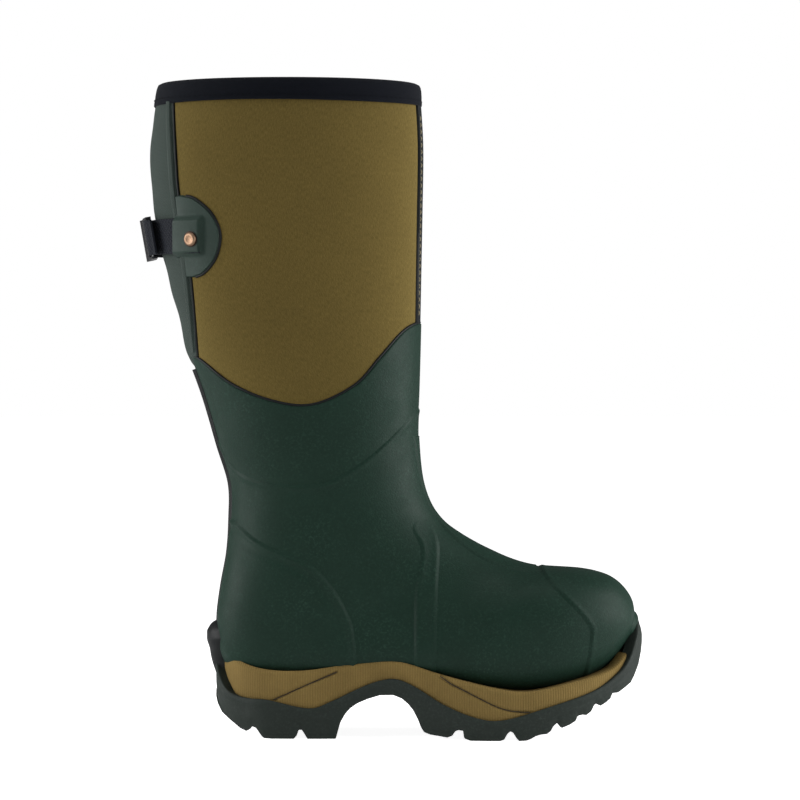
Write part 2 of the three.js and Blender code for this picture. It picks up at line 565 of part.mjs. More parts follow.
// A ladder frame: keeper bar, grip bar and a lifting lip between two rails.
function buckle() {
  const half = BUCKLE.inside / 2;
  const outer = half + BUCKLE.rail;
  const end = BUCKLE.length;
  const rail = [[-2.6, -1.9], [end - 6, -1.9], [end, 0.6], [end, 3.2], [9, 3.2], [4, 2.4], [-2.6, 1.9]];
  const lip = [[end - 7, 0.9], [end, 1.2], [end + 2, 3.4], [end + 1.5, 4.8], [end - 2, 3.6], [end - 7, 3]];
  const [near, far] = [BUCKLE.middle - 2, BUCKLE.middle + 2];
  return post(BUCKLE.bar, half + 1)
    .add(plate(rail, half, outer))
    .add(plate(rail, -outer, -half))
    .add(plate([[near, -1.4], [far, -1.4], [far, 0.8], [near, 0.8]], -half - 1, half + 1))
    .add(plate(lip, -outer, outer));
}

// Webbing from under the outer D tab, ending in a sewn loop round the keeper bar.
function keeper() {
  const half = WEB_HEIGHT / 2;
  const run = layer(WEB_INSIDE, WEB_OUTSIDE).intersect(webZone(0, -170, COVER.end, -WIDE, BUCKLE_SIDE + 4));
  const loop = fromBuckle(post(BUCKLE.bar + GAP + WEB, half));
  const bore = fromBuckle(post(BUCKLE.bar + GAP, half + 3));
  return run.subtract(rivetHole(-1)).add(loop).subtract(bore);
}

// Webbing from under the inner D tab, leaving the leg to run into the buckle below its lip.
function adjusterStrap() {
  const leave = [27, 24].map((y) => aroundStrap(y, (WEB_INSIDE + WEB_OUTSIDE) / 2));
  const run = layer(WEB_INSIDE, WEB_OUTSIDE).intersect(webZone(0, -175, COVER.end, 25, WIDE));
  const inward = [[25, -3], [20.5, -1.9]].map(buckleToPlan);
  const free = [[leave[0].x, leave[0].y], [leave[1].x - 0.3, leave[1].y], ...inward];
  return run.subtract(rivetHole(1)).add(ribbon(free));
}

// The strap's end, over the grip bar, out under the lip and back over the run.
function strapTail() {
  const over = [[11.4, -1], [11.8, 1.6], [15, 2.3], [18.8, 1.6], [21.5, 0.2], [27, -0.6], [32, -1.4]]
    .map(buckleToPlan);
  const lie = [[25, 5], [30, 7], [34.5, 7.6]].map(([y, out]) => aroundStrap(y, out));
  return ribbon([...over, ...lie.map((p) => [p.x, p.y])]);
}

// ---- Assembly -----------------------------------------------------------------------------------
const boot = new THREE.Group();
const [shaft, strap, foot, inside, sole] = Array.from({ length: 5 }, () => new THREE.Group());
boot.add(shaft, strap, foot, inside, sole);
strap.add(buckleFrame);

function add(group, name, solid, material) {
  const mesh = new THREE.Mesh(toGeometry(solid), MATERIALS[material]);
  mesh.name = name;
  group.add(mesh);
  return mesh;
}

// Adds a piece turned about a rivet's axis.
function addOnRivet(name, solid, side) {
  const mesh = add(strap, name, solid, "copper");
  mesh.position.copy(rivetPlace[side].point);
  mesh.quaternion.copy(rivetTurn(side));
}

const holes = rivetHole(1).add(rivetHole(-1));
for (const [label, side] of [["lateral", -1], ["medial", 1]]) {
  add(shaft, "shaft_panel_" + label, shaftPanel(side).subtract(holes), "neoprene");
  add(shaft, "gusset_strip_" + label, gussetStrip(side), "gussetFabric");
  add(strap, "d_tab_" + label, dTab(side), "greenRubber");
  addOnRivet("rivet_" + label, rivet(), side);
  addOnRivet("rivet_washer_" + label, washer(), side);
  add(foot, "instep_strap_" + label, instepStrap(side), "greenRubber");
  add(foot, "heel_counter_" + label, heelCounter(side), "greenRubber");
}
add(shaft, "collar_binding", collarBinding(), "binding");
add(shaft, "front_seam_tape", frontTape(), "blackRubber");
add(shaft, "gusset", gusset(), "gussetFabric");
add(strap, "keeper_webbing", keeper(), "webbing");
add(strap, "adjuster_strap", adjusterStrap(), "webbing");
add(strap, "strap_tail", strapTail(), "webbing");
add(buckleFrame, "buckle", buckle(), "plastic");
add(foot, "rubber_cuff", cuff(), "greenRubber");
add(foot, "rubber_foot", footShell(), "greenRubber");
add(foot, "toe_cap", toeCap(), "greenRubber");
add(foot, "instep_guard", instepGuard(), "greenRubber");
add(foot, "back_stay", backStay(), "blackRubber");
add(inside, "bootie", bootie(), "neoprene");
add(inside, "thermal_lining", lining().subtract(holes), "lining");
add(inside, "insole_board", insoleBoard(), "board");
add(inside, "footbed", footbed(), "lining");
add(sole, "midsole", midsole(), "foam");
add(sole, "shank", shankSolid(), "steel");
add(sole, "outsole", outsole(), "blackRubber");
add(sole, "kick_spur", kickSpur(), "blackRubber");

export default boot;
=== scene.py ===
"""The looks of a knee-high insulated hunting boot for the right foot.

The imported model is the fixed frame. The boot's own surface is drawn again here as one smooth last, and
each layer of the boot is a piece of skin cut out of it along the lines that a maker would cut. Sizes are
in millimetres, and meshes are in metres. +X points to the toe, +Y to the inner side, +Z up.
"""

import logging
import math
from dataclasses import dataclass, field
from enum import Enum
from typing import Callable, Optional, Sequence

import bmesh
import bpy
import numpy as np
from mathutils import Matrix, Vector


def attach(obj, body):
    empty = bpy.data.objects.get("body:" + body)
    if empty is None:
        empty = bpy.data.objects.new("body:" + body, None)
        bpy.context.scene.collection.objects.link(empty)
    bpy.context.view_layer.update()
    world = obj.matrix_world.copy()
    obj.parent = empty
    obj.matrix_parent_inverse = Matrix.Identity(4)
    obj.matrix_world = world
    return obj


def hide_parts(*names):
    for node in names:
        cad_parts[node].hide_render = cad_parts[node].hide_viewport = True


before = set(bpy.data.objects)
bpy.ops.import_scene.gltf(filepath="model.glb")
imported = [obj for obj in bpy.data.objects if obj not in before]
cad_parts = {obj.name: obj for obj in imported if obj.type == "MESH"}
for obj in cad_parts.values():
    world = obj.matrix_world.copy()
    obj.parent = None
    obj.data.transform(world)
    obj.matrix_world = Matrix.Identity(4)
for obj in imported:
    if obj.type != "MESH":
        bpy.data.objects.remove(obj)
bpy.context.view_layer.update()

log = logging.getLogger("boot")
MM = 0.001
Array = np.ndarray
Pair = tuple[float, float]


class Side(Enum):
    """The two sides of the boot, by the sign of Y."""

    OUTER = -1
    INNER = 1

    @property
    def label(self) -> str:
        """The side's name in node names."""
        return "lateral" if self is Side.OUTER else "medial"


class Slot(Enum):
    """The record's material slots."""

    NEOPRENE = "neoprene"
    BOOTIE = "bootie_neoprene"
    GUSSET = "gusset_fabric"
    GREEN = "green_rubber"
    BLACK = "black_rubber"
    OUTSOLE = "outsole_rubber"
    FOAM = "tan_foam"
    BINDING = "binding"
    WEBBING = "webbing"
    PLASTIC = "black_plastic"
    COPPER = "copper"
    LINING = "lining"
    FOOTBED = "footbed_fabric"
    BOARD = "insole_board"
    STEEL = "steel"


# ---- Curves --------------------------------------------------------------------------------------
def smooth_at(points: Sequence[Sequence[float]], at: Array, closed: bool = False) -> Array:
    """Reads a Catmull-Rom curve through points.

    Args:
        points: The points that the curve goes through.
        at: Where to read it, from 0 at its start to 1 at its end.
        closed: Whether the last point leads back to the first.

    Returns:
        One row of coordinates for each value of at.
    """
    p = np.asarray(points, float)
    spans = len(p) if closed else len(p) - 1
    t = np.clip(np.asarray(at, float), 0, 1) * spans
    i = np.minimum(t.astype(int), spans - 1)
    u = (t - i)[..., None]
    if closed:
        a, b, c, d = (p[(i + k) % len(p)] for k in (-1, 0, 1, 2))
    else:
        row = np.vstack([2 * p[0] - p[1], p, 2 * p[-1] - p[-2]])
        a, b, c, d = (row[i + k] for k in (0, 1, 2, 3))
    return 0.5 * (2 * b + (c - a) * u + (2 * a - 5 * b + 4 * c - d) * u**2 + (3 * b - a - 3 * c + d) * u**3)


def smooth_line(points: Sequence[Sequence[float]], pieces: int, closed: bool = False) -> Array:
    """The curve through points as pieces + 1 points, or as pieces points if it is closed."""
    return smooth_at(points, np.linspace(0, 1, pieces + 1)[: pieces if closed else None], closed)


def height_along(points: Sequence[Pair], x: Array) -> Array:
    """The height of a side-view line that only runs forwards, at each x."""
    line = smooth_line(points, 240)
    order = np.maximum.accumulate(line[:, 0]) + np.arange(len(line)) * 1e-6
    return np.interp(x, order, line[:, 1])


def side_distance(x: Array, z: Array, line: Array) -> Array:
    """The distance of side-view places from a line of points."""
    best = np.full(x.shape, np.inf)
    for (ax, az), (bx, bz) in zip(line[:-1], line[1:]):
        dx, dz = bx - ax, bz - az
        t = np.clip(((x - ax) * dx + (z - az) * dz) / (dx * dx + dz * dz + 1e-12), 0, 1)
        best = np.minimum(best, (x - ax - t * dx) ** 2 + (z - az - t * dz) ** 2)
    return np.sqrt(best)


def inside_outline(x: Array, z: Array, outline: Array) -> Array:
    """Whether side-view places lie inside a closed outline."""
    inside = np.zeros(x.shape, bool)
    for (ax, az), (bx, bz) in zip(outline, np.roll(outline, -1, axis=0)):
        if az == bz:
            continue
        crosses = (az > z) != (bz > z)
        inside ^= crosses & (x < (bx - ax) * (z - az) / (bz - az) + ax)
    return inside


def depth_in(x: Array, z: Array, outline: Array, edge: Optional[Array] = None) -> Array:
    """How deep places lie inside a closed outline, in millimetres, and negative outside it.

    Args:
        x: The places' X.
        z: The places' Z.
        outline: The closed outline.
        edge: The line that the distance is measured from, if not the whole outline.

    Returns:
        The signed depth of each place.
    """
    line = np.vstack([outline, outline[:1]]) if edge is None else edge
    return np.where(inside_outline(x, z, outline), 1.0, -1.0) * side_distance(x, z, line)


def rise(value: Array, start: float, end: float) -> Array:
    """A smooth step from 0 at start to 1 at end."""
    t = np.clip((value - start) / (end - start), 0, 1)
    return t * t * (3 - 2 * t)


def ripple(points: Array, wave: float, seed: int = 1) -> Array:
    """A smooth uneven pattern between about -1 and 1, of that wavelength in millimetres."""
    rng = np.random.default_rng(seed)
    total = np.zeros(points.shape[:-1])
    for _ in range(7):
        way = rng.normal(size=3)
        way *= 2 * math.pi / wave * rng.uniform(0.6, 1.5) / np.linalg.norm(way)
        total += np.sin(points @ way + rng.uniform(0, 2 * math.pi))
    return total / 4


# ---- The boot's own lines ------------------------------------------------------------------------
@dataclass(frozen=True)
class Layers:
    """Distances outwards from the neoprene's outer face, in millimetres."""

    lining_in: float = -6.8
    lining_out: float = -5.3
    web: float = 1.4
    cover: float = 5.1


@dataclass(frozen=True)
class Lines:
    """Side-view lines of the boot, in millimetres, from the back towards the toe."""

    top: float = 443.5
    cuff: tuple[Pair, ...] = ((-150, 264), (-133, 258), (-109, 240), (-81, 228.5), (-54, 226), (-26, 239),
                              (-9, 258), (8, 277), (24, 285))
    foot: tuple[Pair, ...] = ((-150, 222), (-123, 209), (-108, 184), (-84, 174), (-50, 173), (-27, 184),
                              (-6, 201), (14, 222), (24, 233))
    counter: tuple[Pair, ...] = ((-125, 152), (-107, 148), (-89, 134), (-56, 119), (-39, 102), (-29, 84),
                                 (-25, 71), (-22, 38))
    cap: tuple[Pair, ...] = ((97, 125), (98, 117), (104, 104), (128, 79), (131, 66), (125, 30))
    instep: tuple[Pair, ...] = ((11, 205), (18, 168), (30, 143), (52, 123), (73, 113), (99, 108))
    gusset: tuple[Pair, ...] = ((-149, 479), (-149, 434), (-147, 391), (-145, 367), (-137, 313), (-132, 240))
    sole_top: tuple[Pair, ...] = ((-116, 60), (-107, 53), (-90, 47), (-60, 46), (-17, 52), (5, 52), (35, 43),
                                  (69, 35), (92, 33), (119, 38), (147, 46), (160, 57))
    sole_bottom: tuple[Pair, ...] = ((-116, 46), (-111, 36), (-104, 28), (-84, 25.5), (-57, 20), (-41, 25),
                                     (-17, 36), (0, 40), (14, 35.5), (35, 23), (57, 14.5), (75, 13.5),
                                     (105, 22), (135, 32), (152, 43), (160, 53))
    tread: tuple[Pair, ...] = ((-123, 29), (-122, 27), (-120, 21.7), (-116.5, 16.2), (-109, 10.5),
                               (-103.5, 6.4),
                               (-99.5, 4.7), (-96.8, 6.4), (-95.4, 8.1), (-92.7, 7.1), (-90.7, 4.4),
                               (-88.6, 1.5),
                               (-87, 0.3), (-82, 0), (-67, 0), (-64.9, 2.4), (-63.6, 6.1), (-61.5, 6.1),
                               (-59.5, 3), (-57.8, 0), (-38.5, 0), (-37.2, 5.1), (-35.5, 11), (-32.4, 16.5),
                               (-29, 20.5), (-24, 24), (-17, 27), (-9, 29.5), (0, 29.8), (6, 27.5),
                               (10.2, 24),
                               (13.5, 20), (16.9, 13.5), (18.9, 8.5), (20.9, 5.2), (25, 3.6), (31.7, 2.6),
                               (36.4, 1.8), (39.8, 3.2), (41.8, 6.2), (43.8, 7), (47.2, 6.6), (47.9, 1.6),
                               (51.9, 0), (72, 0), (74.7, 1), (76.8, 4.7), (78.8, 6.5), (80.8, 5.6),
                               (82.8, 2.2),
                               (84.8, 0), (90, 0.3), (93, 1.5), (96, 3.2), (99.6, 4.2), (103.7, 4.6),
                               (106.3, 6.6),
                               (107.7, 9.4), (110.4, 11.8), (112.4, 9.4), (113.7, 8.4), (119.1, 10.4),
                               (123.2, 12.8), (124.5, 16.1), (127.9, 16.8), (130.6, 16.5), (133.9, 18.8),
                               (135.9, 22.9), (137.3, 23.9), (138.6, 23.2), (140.6, 22.2), (144, 24.2),
                               (147.4, 26.9), (148.7, 30.3), (152.8, 30.5), (156.4, 32.8), (161.9, 36.5),
                               (164.6, 40.8), (168.1, 48.4), (170.2, 56.6), (171.4, 63.5))
    collar: tuple[Pair, ...] = ((-116.5, 62), (-115.5, 60), (-115, 48), (-112, 37), (-107, 29.5), (-98, 26.5),
                                (-84, 25.5), (-57, 20), (-41, 25), (-17, 36), (0, 40), (14, 35.5), (35, 23),
                                (57, 14.5), (75, 13.5), (105, 22), (135, 32), (150, 42), (157, 51), (161, 62),
                                (166.5, 80))
    plan: tuple[Pair, ...] = ((-115.5, 0), (-109, -25), (-90, -39), (-60, -42), (-20, -41.5), (20, -47.5),
                              (60, -55.5), (92, -55.5), (122, -49), (146, -36), (160, -20), (166.5, 2),
                              (158, 24), (142, 40), (118, 49), (85, 52.5), (50, 50), (15, 42.5), (-20, 38.5),
                              (-60, 40), (-90, 38.5), (-109, 25))


LAYERS = Layers()
LINES = Lines()
BEHIND, AHEAD = -230.0, 230.0


@dataclass(frozen=True)
class Section:
    """One section through the last, from its front or instep to its back or sole."""

    front: Pair
    back: Pair
    half: float
    square: float
    shift: float = 0.0


SECTIONS = (
    Section((17.2, 443.5), (-160.4, 443.5), 57.5, 0.95),
    Section((19.3, 405), (-166.6, 405), 57.5, 0.95),
    Section((19.1, 360), (-164.6, 360), 57, 0.95),
    Section((18.5, 315), (-155.2, 315), 55.5, 0.95),
    Section((17.6, 272), (-142, 272), 53, 0.93),
    Section((16.6, 236), (-127.9, 233), 49.5, 0.92),
    Section((15.5, 207), (-117.9, 199), 45.5, 0.9),
    Section((16.8, 184), (-109.8, 172), 42.5, 0.88),
    Section((19.8, 167), (-109.4, 147), 41, 0.85),
    Section((25.5, 154), (-110.9, 124), 40.5, 0.8),
    Section((34, 143.3), (-115, 101), 40, 0.74),
    Section((45, 135.2), (-117.5, 79), 39.5, 0.68),
    Section((57, 128.2), (-116, 58), 39, 0.65, -0.5),
    Section((68, 122.8), (-106, 44.5), 38.5, 0.6, -1),
    Section((78, 118.4), (-84, 41), 39, 0.56, -1.5),
    Section((88, 115), (-52, 41.5), 40.5, 0.55, -2),
    Section((98, 112.8), (-15, 42.5), 43.5, 0.55, -2),
    Section((108, 112), (25, 38.5), 48, 0.55, -1.5),
    Section((118, 111.4), (58, 32), 50, 0.56, -1),
    Section((129, 110.5), (86, 30), 49.5, 0.58),
    Section((139.5, 108.5), (108, 32), 46.5, 0.62, 1),
    Section((149, 105), (126, 37), 41.5, 0.68, 2),
    Section((156.5, 99), (140, 44), 34.5, 0.75, 2.5),
    Section((162, 90.8), (150, 53), 26, 0.85, 3),
    Section((163.9, 81.5), (158, 63), 16, 0.95, 3),
)
TOE_TIP = (165.5, 72.0)


class BootLast:
    """The smooth surface that every layer of the boot is measured from."""

    def __init__(self) -> None:
        """Takes the sections as arrays."""
        self.end = len(SECTIONS) - 1
        self.rows = np.array([[*s.front, *s.back, s.half, s.square, s.shift] for s in SECTIONS])

    def place(self, section: Array, turn: Array) -> Array:
        """Places on the surface.

        Args:
            section: 0 at the collar, the number of the last section at the toe, and one more at its tip.
            turn: The angle round the section, 0 at the front or instep.

        Returns:
            An array of X, Y and Z, in millimetres.
        """
        section, turn = np.broadcast_arrays(np.asarray(section, float), np.asarray(turn, float))
        row = smooth_at(self.rows, np.clip(section / self.end, 0, 1))
        fx, fz, bx, bz, half, square, shift = np.moveaxis(row, -1, 0)
        ahead, aside = np.cos(turn), np.sin(turn)
        power = np.where(ahead > 0, (1 + square) / 2, square)
        along = np.sign(ahead) * np.abs(ahead) ** power
        across = np.sign(aside) * np.abs(aside) ** power
        middle = np.stack([(fx + bx) / 2, shift, (fz + bz) / 2], -1)
        reach = np.stack([(fx - bx) / 2 * along, half * across, (fz - bz) / 2 * along], -1)
        past = np.clip(section - self.end, 0, 1)[..., None] * math.pi / 2
        tip = np.array([TOE_TIP[0], SECTIONS[-1].shift, TOE_TIP[1]]) - middle
        return middle + reach * np.cos(past) + np.where(past > 0, tip * np.sin(past), 0)

    def normal(self, section: Array, turn: Array) -> Array:
        """The outward direction at those places."""
        section, turn = np.broadcast_arrays(np.asarray(section, float), np.asarray(turn, float))
        step = 0.012
        high = self.place(np.maximum(section - step, 0), turn)
        down = self.place(np.minimum(section + step, self.end + 0.97), turn) - high
        round_ = self.place(section, turn + step) - self.place(section, turn - step)
        out = np.cross(down, round_)
        return out / np.maximum(np.linalg.norm(out, axis=-1, keepdims=True), 1e-9)

    def locate(self, x: Array, z: Array, side: Side, first: float = 0.0, last: float = 14.0) -> tuple[Array,
                                                                                                      Array]:
        """Finds the section and turn of side-view places on one side of the boot.

        Args:
            x: The places' X.
            z: The places' Z.
            side: Which side of the boot.
            first: The first section to look in.
            last: The last section to look in.

        Returns:
            The sections and the turns.
        """
        s, v = np.meshgrid(np.linspace(first, last, 260), np.linspace(0.02, math.pi - 0.02, 220),
                           indexing="ij")
        net = self.place(s, side.value * v)
        found_s, found_v = [], []
        for px, pz in zip(np.atleast_1d(x), np.atleast_1d(z)):
            k = int(np.argmin((net[..., 0] - px) ** 2 + (net[..., 2] - pz) ** 2))
            a, b = s.flat[k], v.flat[k]
            for _ in range(5):
                here = self.place(a, side.value * b)
                da = (self.place(a + 1e-3, side.value * b) - here)[[0, 2]] / 1e-3
                db = (self.place(a, side.value * (b + 1e-3)) - here)[[0, 2]] / 1e-3
                matrix = np.stack([da, db], 1)
                if abs(np.linalg.det(matrix)) < 1e-3:
                    break
                move = np.linalg.solve(matrix, np.array([px, pz]) - here[[0, 2]])
                a, b = a + np.clip(move[0], -0.1, 0.1), b + np.clip(move[1], -0.05, 0.05)
            found_s.append(float(np.clip(a, first, last)))
            found_v.append(float(np.clip(b, 0, math.pi)))
        return np.array(found_s), side.value * np.array(found_v)

    def on(self, x: Array, z: Array, side: Side, out: float) -> tuple[Array, Array]:
        """Places that far out from the surface at side-view places, with the outward directions."""
        s, v = self.locate(x, z, side)
        normal = self.normal(s, v)
        return self.place(s, v) + normal * out, normal


LAST = BootLast()


# ---- Meshes --------------------------------------------------------------------------------------
@dataclass
class Solid:
    """A mesh being made: corners in millimetres, faces, and a flat pattern place for each corner."""

    corners: Array
    faces: list[list[int]]
    flat: Optional[Array] = None

    def __add__(self, other: "Solid") -> "Solid":
        """The two meshes as one."""
        flat = None
        if self.flat is not None and other.flat is not None:
            flat = np.vstack([self.flat, other.flat])
        shift = len(self.corners)
        return Solid(np.vstack([self.corners, other.corners]),
                     self.faces + [[i + shift for i in face] for face in other.faces], flat)


def joined(parts: Sequence[Solid]) -> Solid:
    """Several meshes as one."""
    total = parts[0]
    for part in parts[1:]:
        total = total + part
    return total


@dataclass
class Piece:
    """How a finished mesh goes into the scene."""

    name: str
    solid: Solid
    material: bpy.types.Material
    slot: Slot
    nodes: tuple[str, ...] = ()
    body: str = "boot"
    sharp: float = 40.0
    bevel: float = 0.0

    def build(self) -> bpy.types.Object:
        """Makes the object, rides it on its body and hides the nodes that it stands for."""
        mesh = bpy.data.meshes.new(self.name)
        mesh.from_pydata((self.solid.corners * MM).tolist(), [], self.solid.faces)
        if self.solid.flat is not None:
            layer = mesh.uv_layers.new(name="Flat")
            index = np.empty(len(mesh.loops), int)
            mesh.loops.foreach_get("vertex_index", index)
            layer.data.foreach_set("uv", self.solid.flat[index].astype(np.float32).ravel())
        mesh.update()
        mesh.validate()
        thing = bpy.data.objects.new(self.name, mesh)
        bpy.context.collection.objects.link(thing)
        if self.bevel:
            round_edges(thing, self.bevel)
            mesh = thing.data
        mesh.shade_smooth()
        mesh.set_sharp_from_angle(angle=math.radians(self.sharp))
        mesh.materials.append(self.material)
        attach(thing, self.body)
        if self.nodes:
            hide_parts(*self.nodes)
        log.info("%s: %d faces", self.name, len(mesh.polygons))
        return thing


def round_edges(thing: bpy.types.Object, width: float) -> None:
    """Rounds an object's sharp edges by that many millimetres, in its own mesh."""
    modifier = thing.modifiers.new("rounding", "BEVEL")
    modifier.width = width * MM
    modifier.segments = 3
    modifier.limit_method = "ANGLE"
    modifier.angle_limit = math.radians(32)
    apply_modifiers(thing)


def apply_modifiers(thing: bpy.types.Object) -> None:
    """Turns an object's modifiers into mesh."""
    graph = bpy.context.evaluated_depsgraph_get()
    mesh = bpy.data.meshes.new_from_object(thing.evaluated_get(graph), depsgraph=graph)
    old = thing.data
    thing.modifiers.clear()
    thing.data = mesh
    mesh.name = old.name
    bpy.data.meshes.remove(old)


def sweep(path: Array, outline: Array, up: Array, closed: bool = False) -> Solid:
    """Runs a flat outline along a path.

    Args:
        path: The path's points.
        outline: The section's points, as distances along the side and along up.
        up: The up direction at each point of the path.
        closed: Whether the path leads back to its start.

    Returns:
        The swept mesh, closed at its ends.
    """
    ahead = np.roll(path, -1, 0) - np.roll(path, 1, 0) if closed else np.gradient(path, axis=0)
    ahead /= np.linalg.norm(ahead, axis=1, keepdims=True)
    side = np.cross(up, ahead)
    side /= np.linalg.norm(side, axis=1, keepdims=True)
    top = np.cross(ahead, side)
    k, n = len(outline), len(path)
    corners = (path[:, None] + side[:, None] * outline[None, :, :1] + top[:, None]
               * outline[None, :, 1:]).reshape(-1, 3)
    faces = [[i * k + j, (i + 1) % n * k + j, (i + 1) % n * k + (j + 1) % k, i * k + (j + 1) % k]
             for i in range(n if closed else n - 1) for j in range(k)]
    if not closed:
        faces += [list(range(k)), [(n - 1) * k + j for j in reversed(range(k))]]
    run = np.concatenate([[0], np.cumsum(np.linalg.norm(np.diff(path, axis=0), axis=1))])
    girth = np.concatenate([[0], np.cumsum(np.linalg.norm(np.diff(outline, axis=0), axis=1))])
    flat = np.stack(np.broadcast_arrays(run[:, None], girth[None, :]), -1).reshape(-1, 2)
    return Solid(corners, faces, flat * MM)


def ring(radius: float, sides: int = 10) -> Array:
    """A round section for sweep."""
    angle = -np.arange(sides) / sides * 2 * math.pi
    return radius * np.stack([np.cos(angle), np.sin(angle)], 1)


def rounded_bar(width: float, thick: float, radius: float, steps: int = 4) -> Array:
    """A rounded rectangular section for sweep."""
    points = []
    for k, (sx, sy) in enumerate(((1, 1), (1, -1), (-1, -1), (-1, 1))):
        start = math.pi / 2 * (1 - k)
        for step in range(steps + 1):
            angle = start - math.pi / 2 * step / steps
            points.append((sx * (width / 2 - radius) + radius * math.cos(angle),
                           sy * (thick / 2 - radius) + radius * math.sin(angle)))
    return np.array(points)


def lathe(profile: Sequence[Pair], origin: Array, axis: Array, sides: int = 48) -> Solid:
    """Turns a profile of radii and distances along an axis. A radius of 0 closes it."""
    turned = np.array(Vector(axis).to_track_quat("Z", "Y").to_matrix())
    n, k = len(profile), sides
    angle = np.arange(k) / k * 2 * math.pi
    local = np.array([[r * np.cos(angle), r * np.sin(angle), np.full(k, d)] for r, d in profile])
    corners = np.moveaxis(local, 1, 2).reshape(-1, 3) @ turned.T + origin
    faces = [[i * k + j, i * k + (j + 1) % k, (i + 1) * k + (j + 1) % k, (i + 1) * k + j]
             for i in range(n - 1) for j in range(k)]
    return Solid(corners, faces)


def stitches(path: Array, normals: Array, pitch: float = 4.2, length: float = 2.9,
             radius: float = 0.32) -> Solid:
    """A row of thread stitches that dip into the cloth at both ends.

    Args:
        path: The row's points.
        normals: The outward direction at each point.
        pitch: The distance from stitch to stitch.
        length: The length of each stitch.
        radius: The thread's radius.

    Returns:
        One mesh of all the stitches.
    """
    run = np.concatenate([[0], np.cumsum(np.linalg.norm(np.diff(path, axis=0), axis=1))])
    parts = []
    for start in np.arange(pitch / 2, run[-1] - length, pitch):
        at = start + np.linspace(0, length, 7)
        line = np.stack([np.interp(at, run, path[:, k]) for k in range(3)], 1)
        out = np.stack([np.interp(at, run, normals[:, k]) for k in range(3)], 1)
        dip = np.array([-0.35, 0.12, 0.3, 0.34, 0.3, 0.12, -0.35])[:, None]
        parts.append(sweep(line + out * dip, ring(radius, 6), out))
    return joined(parts)


# ---- Skins cut out of the last -------------------------------------------------------------------
@dataclass
class Cut:
    """A field over the last that limits a skin, kept between low and high, with edge loops at levels."""

    values: Array
    low: float = 0.0
    high: float = math.inf
    levels: tuple[float, ...] = (0.0,)


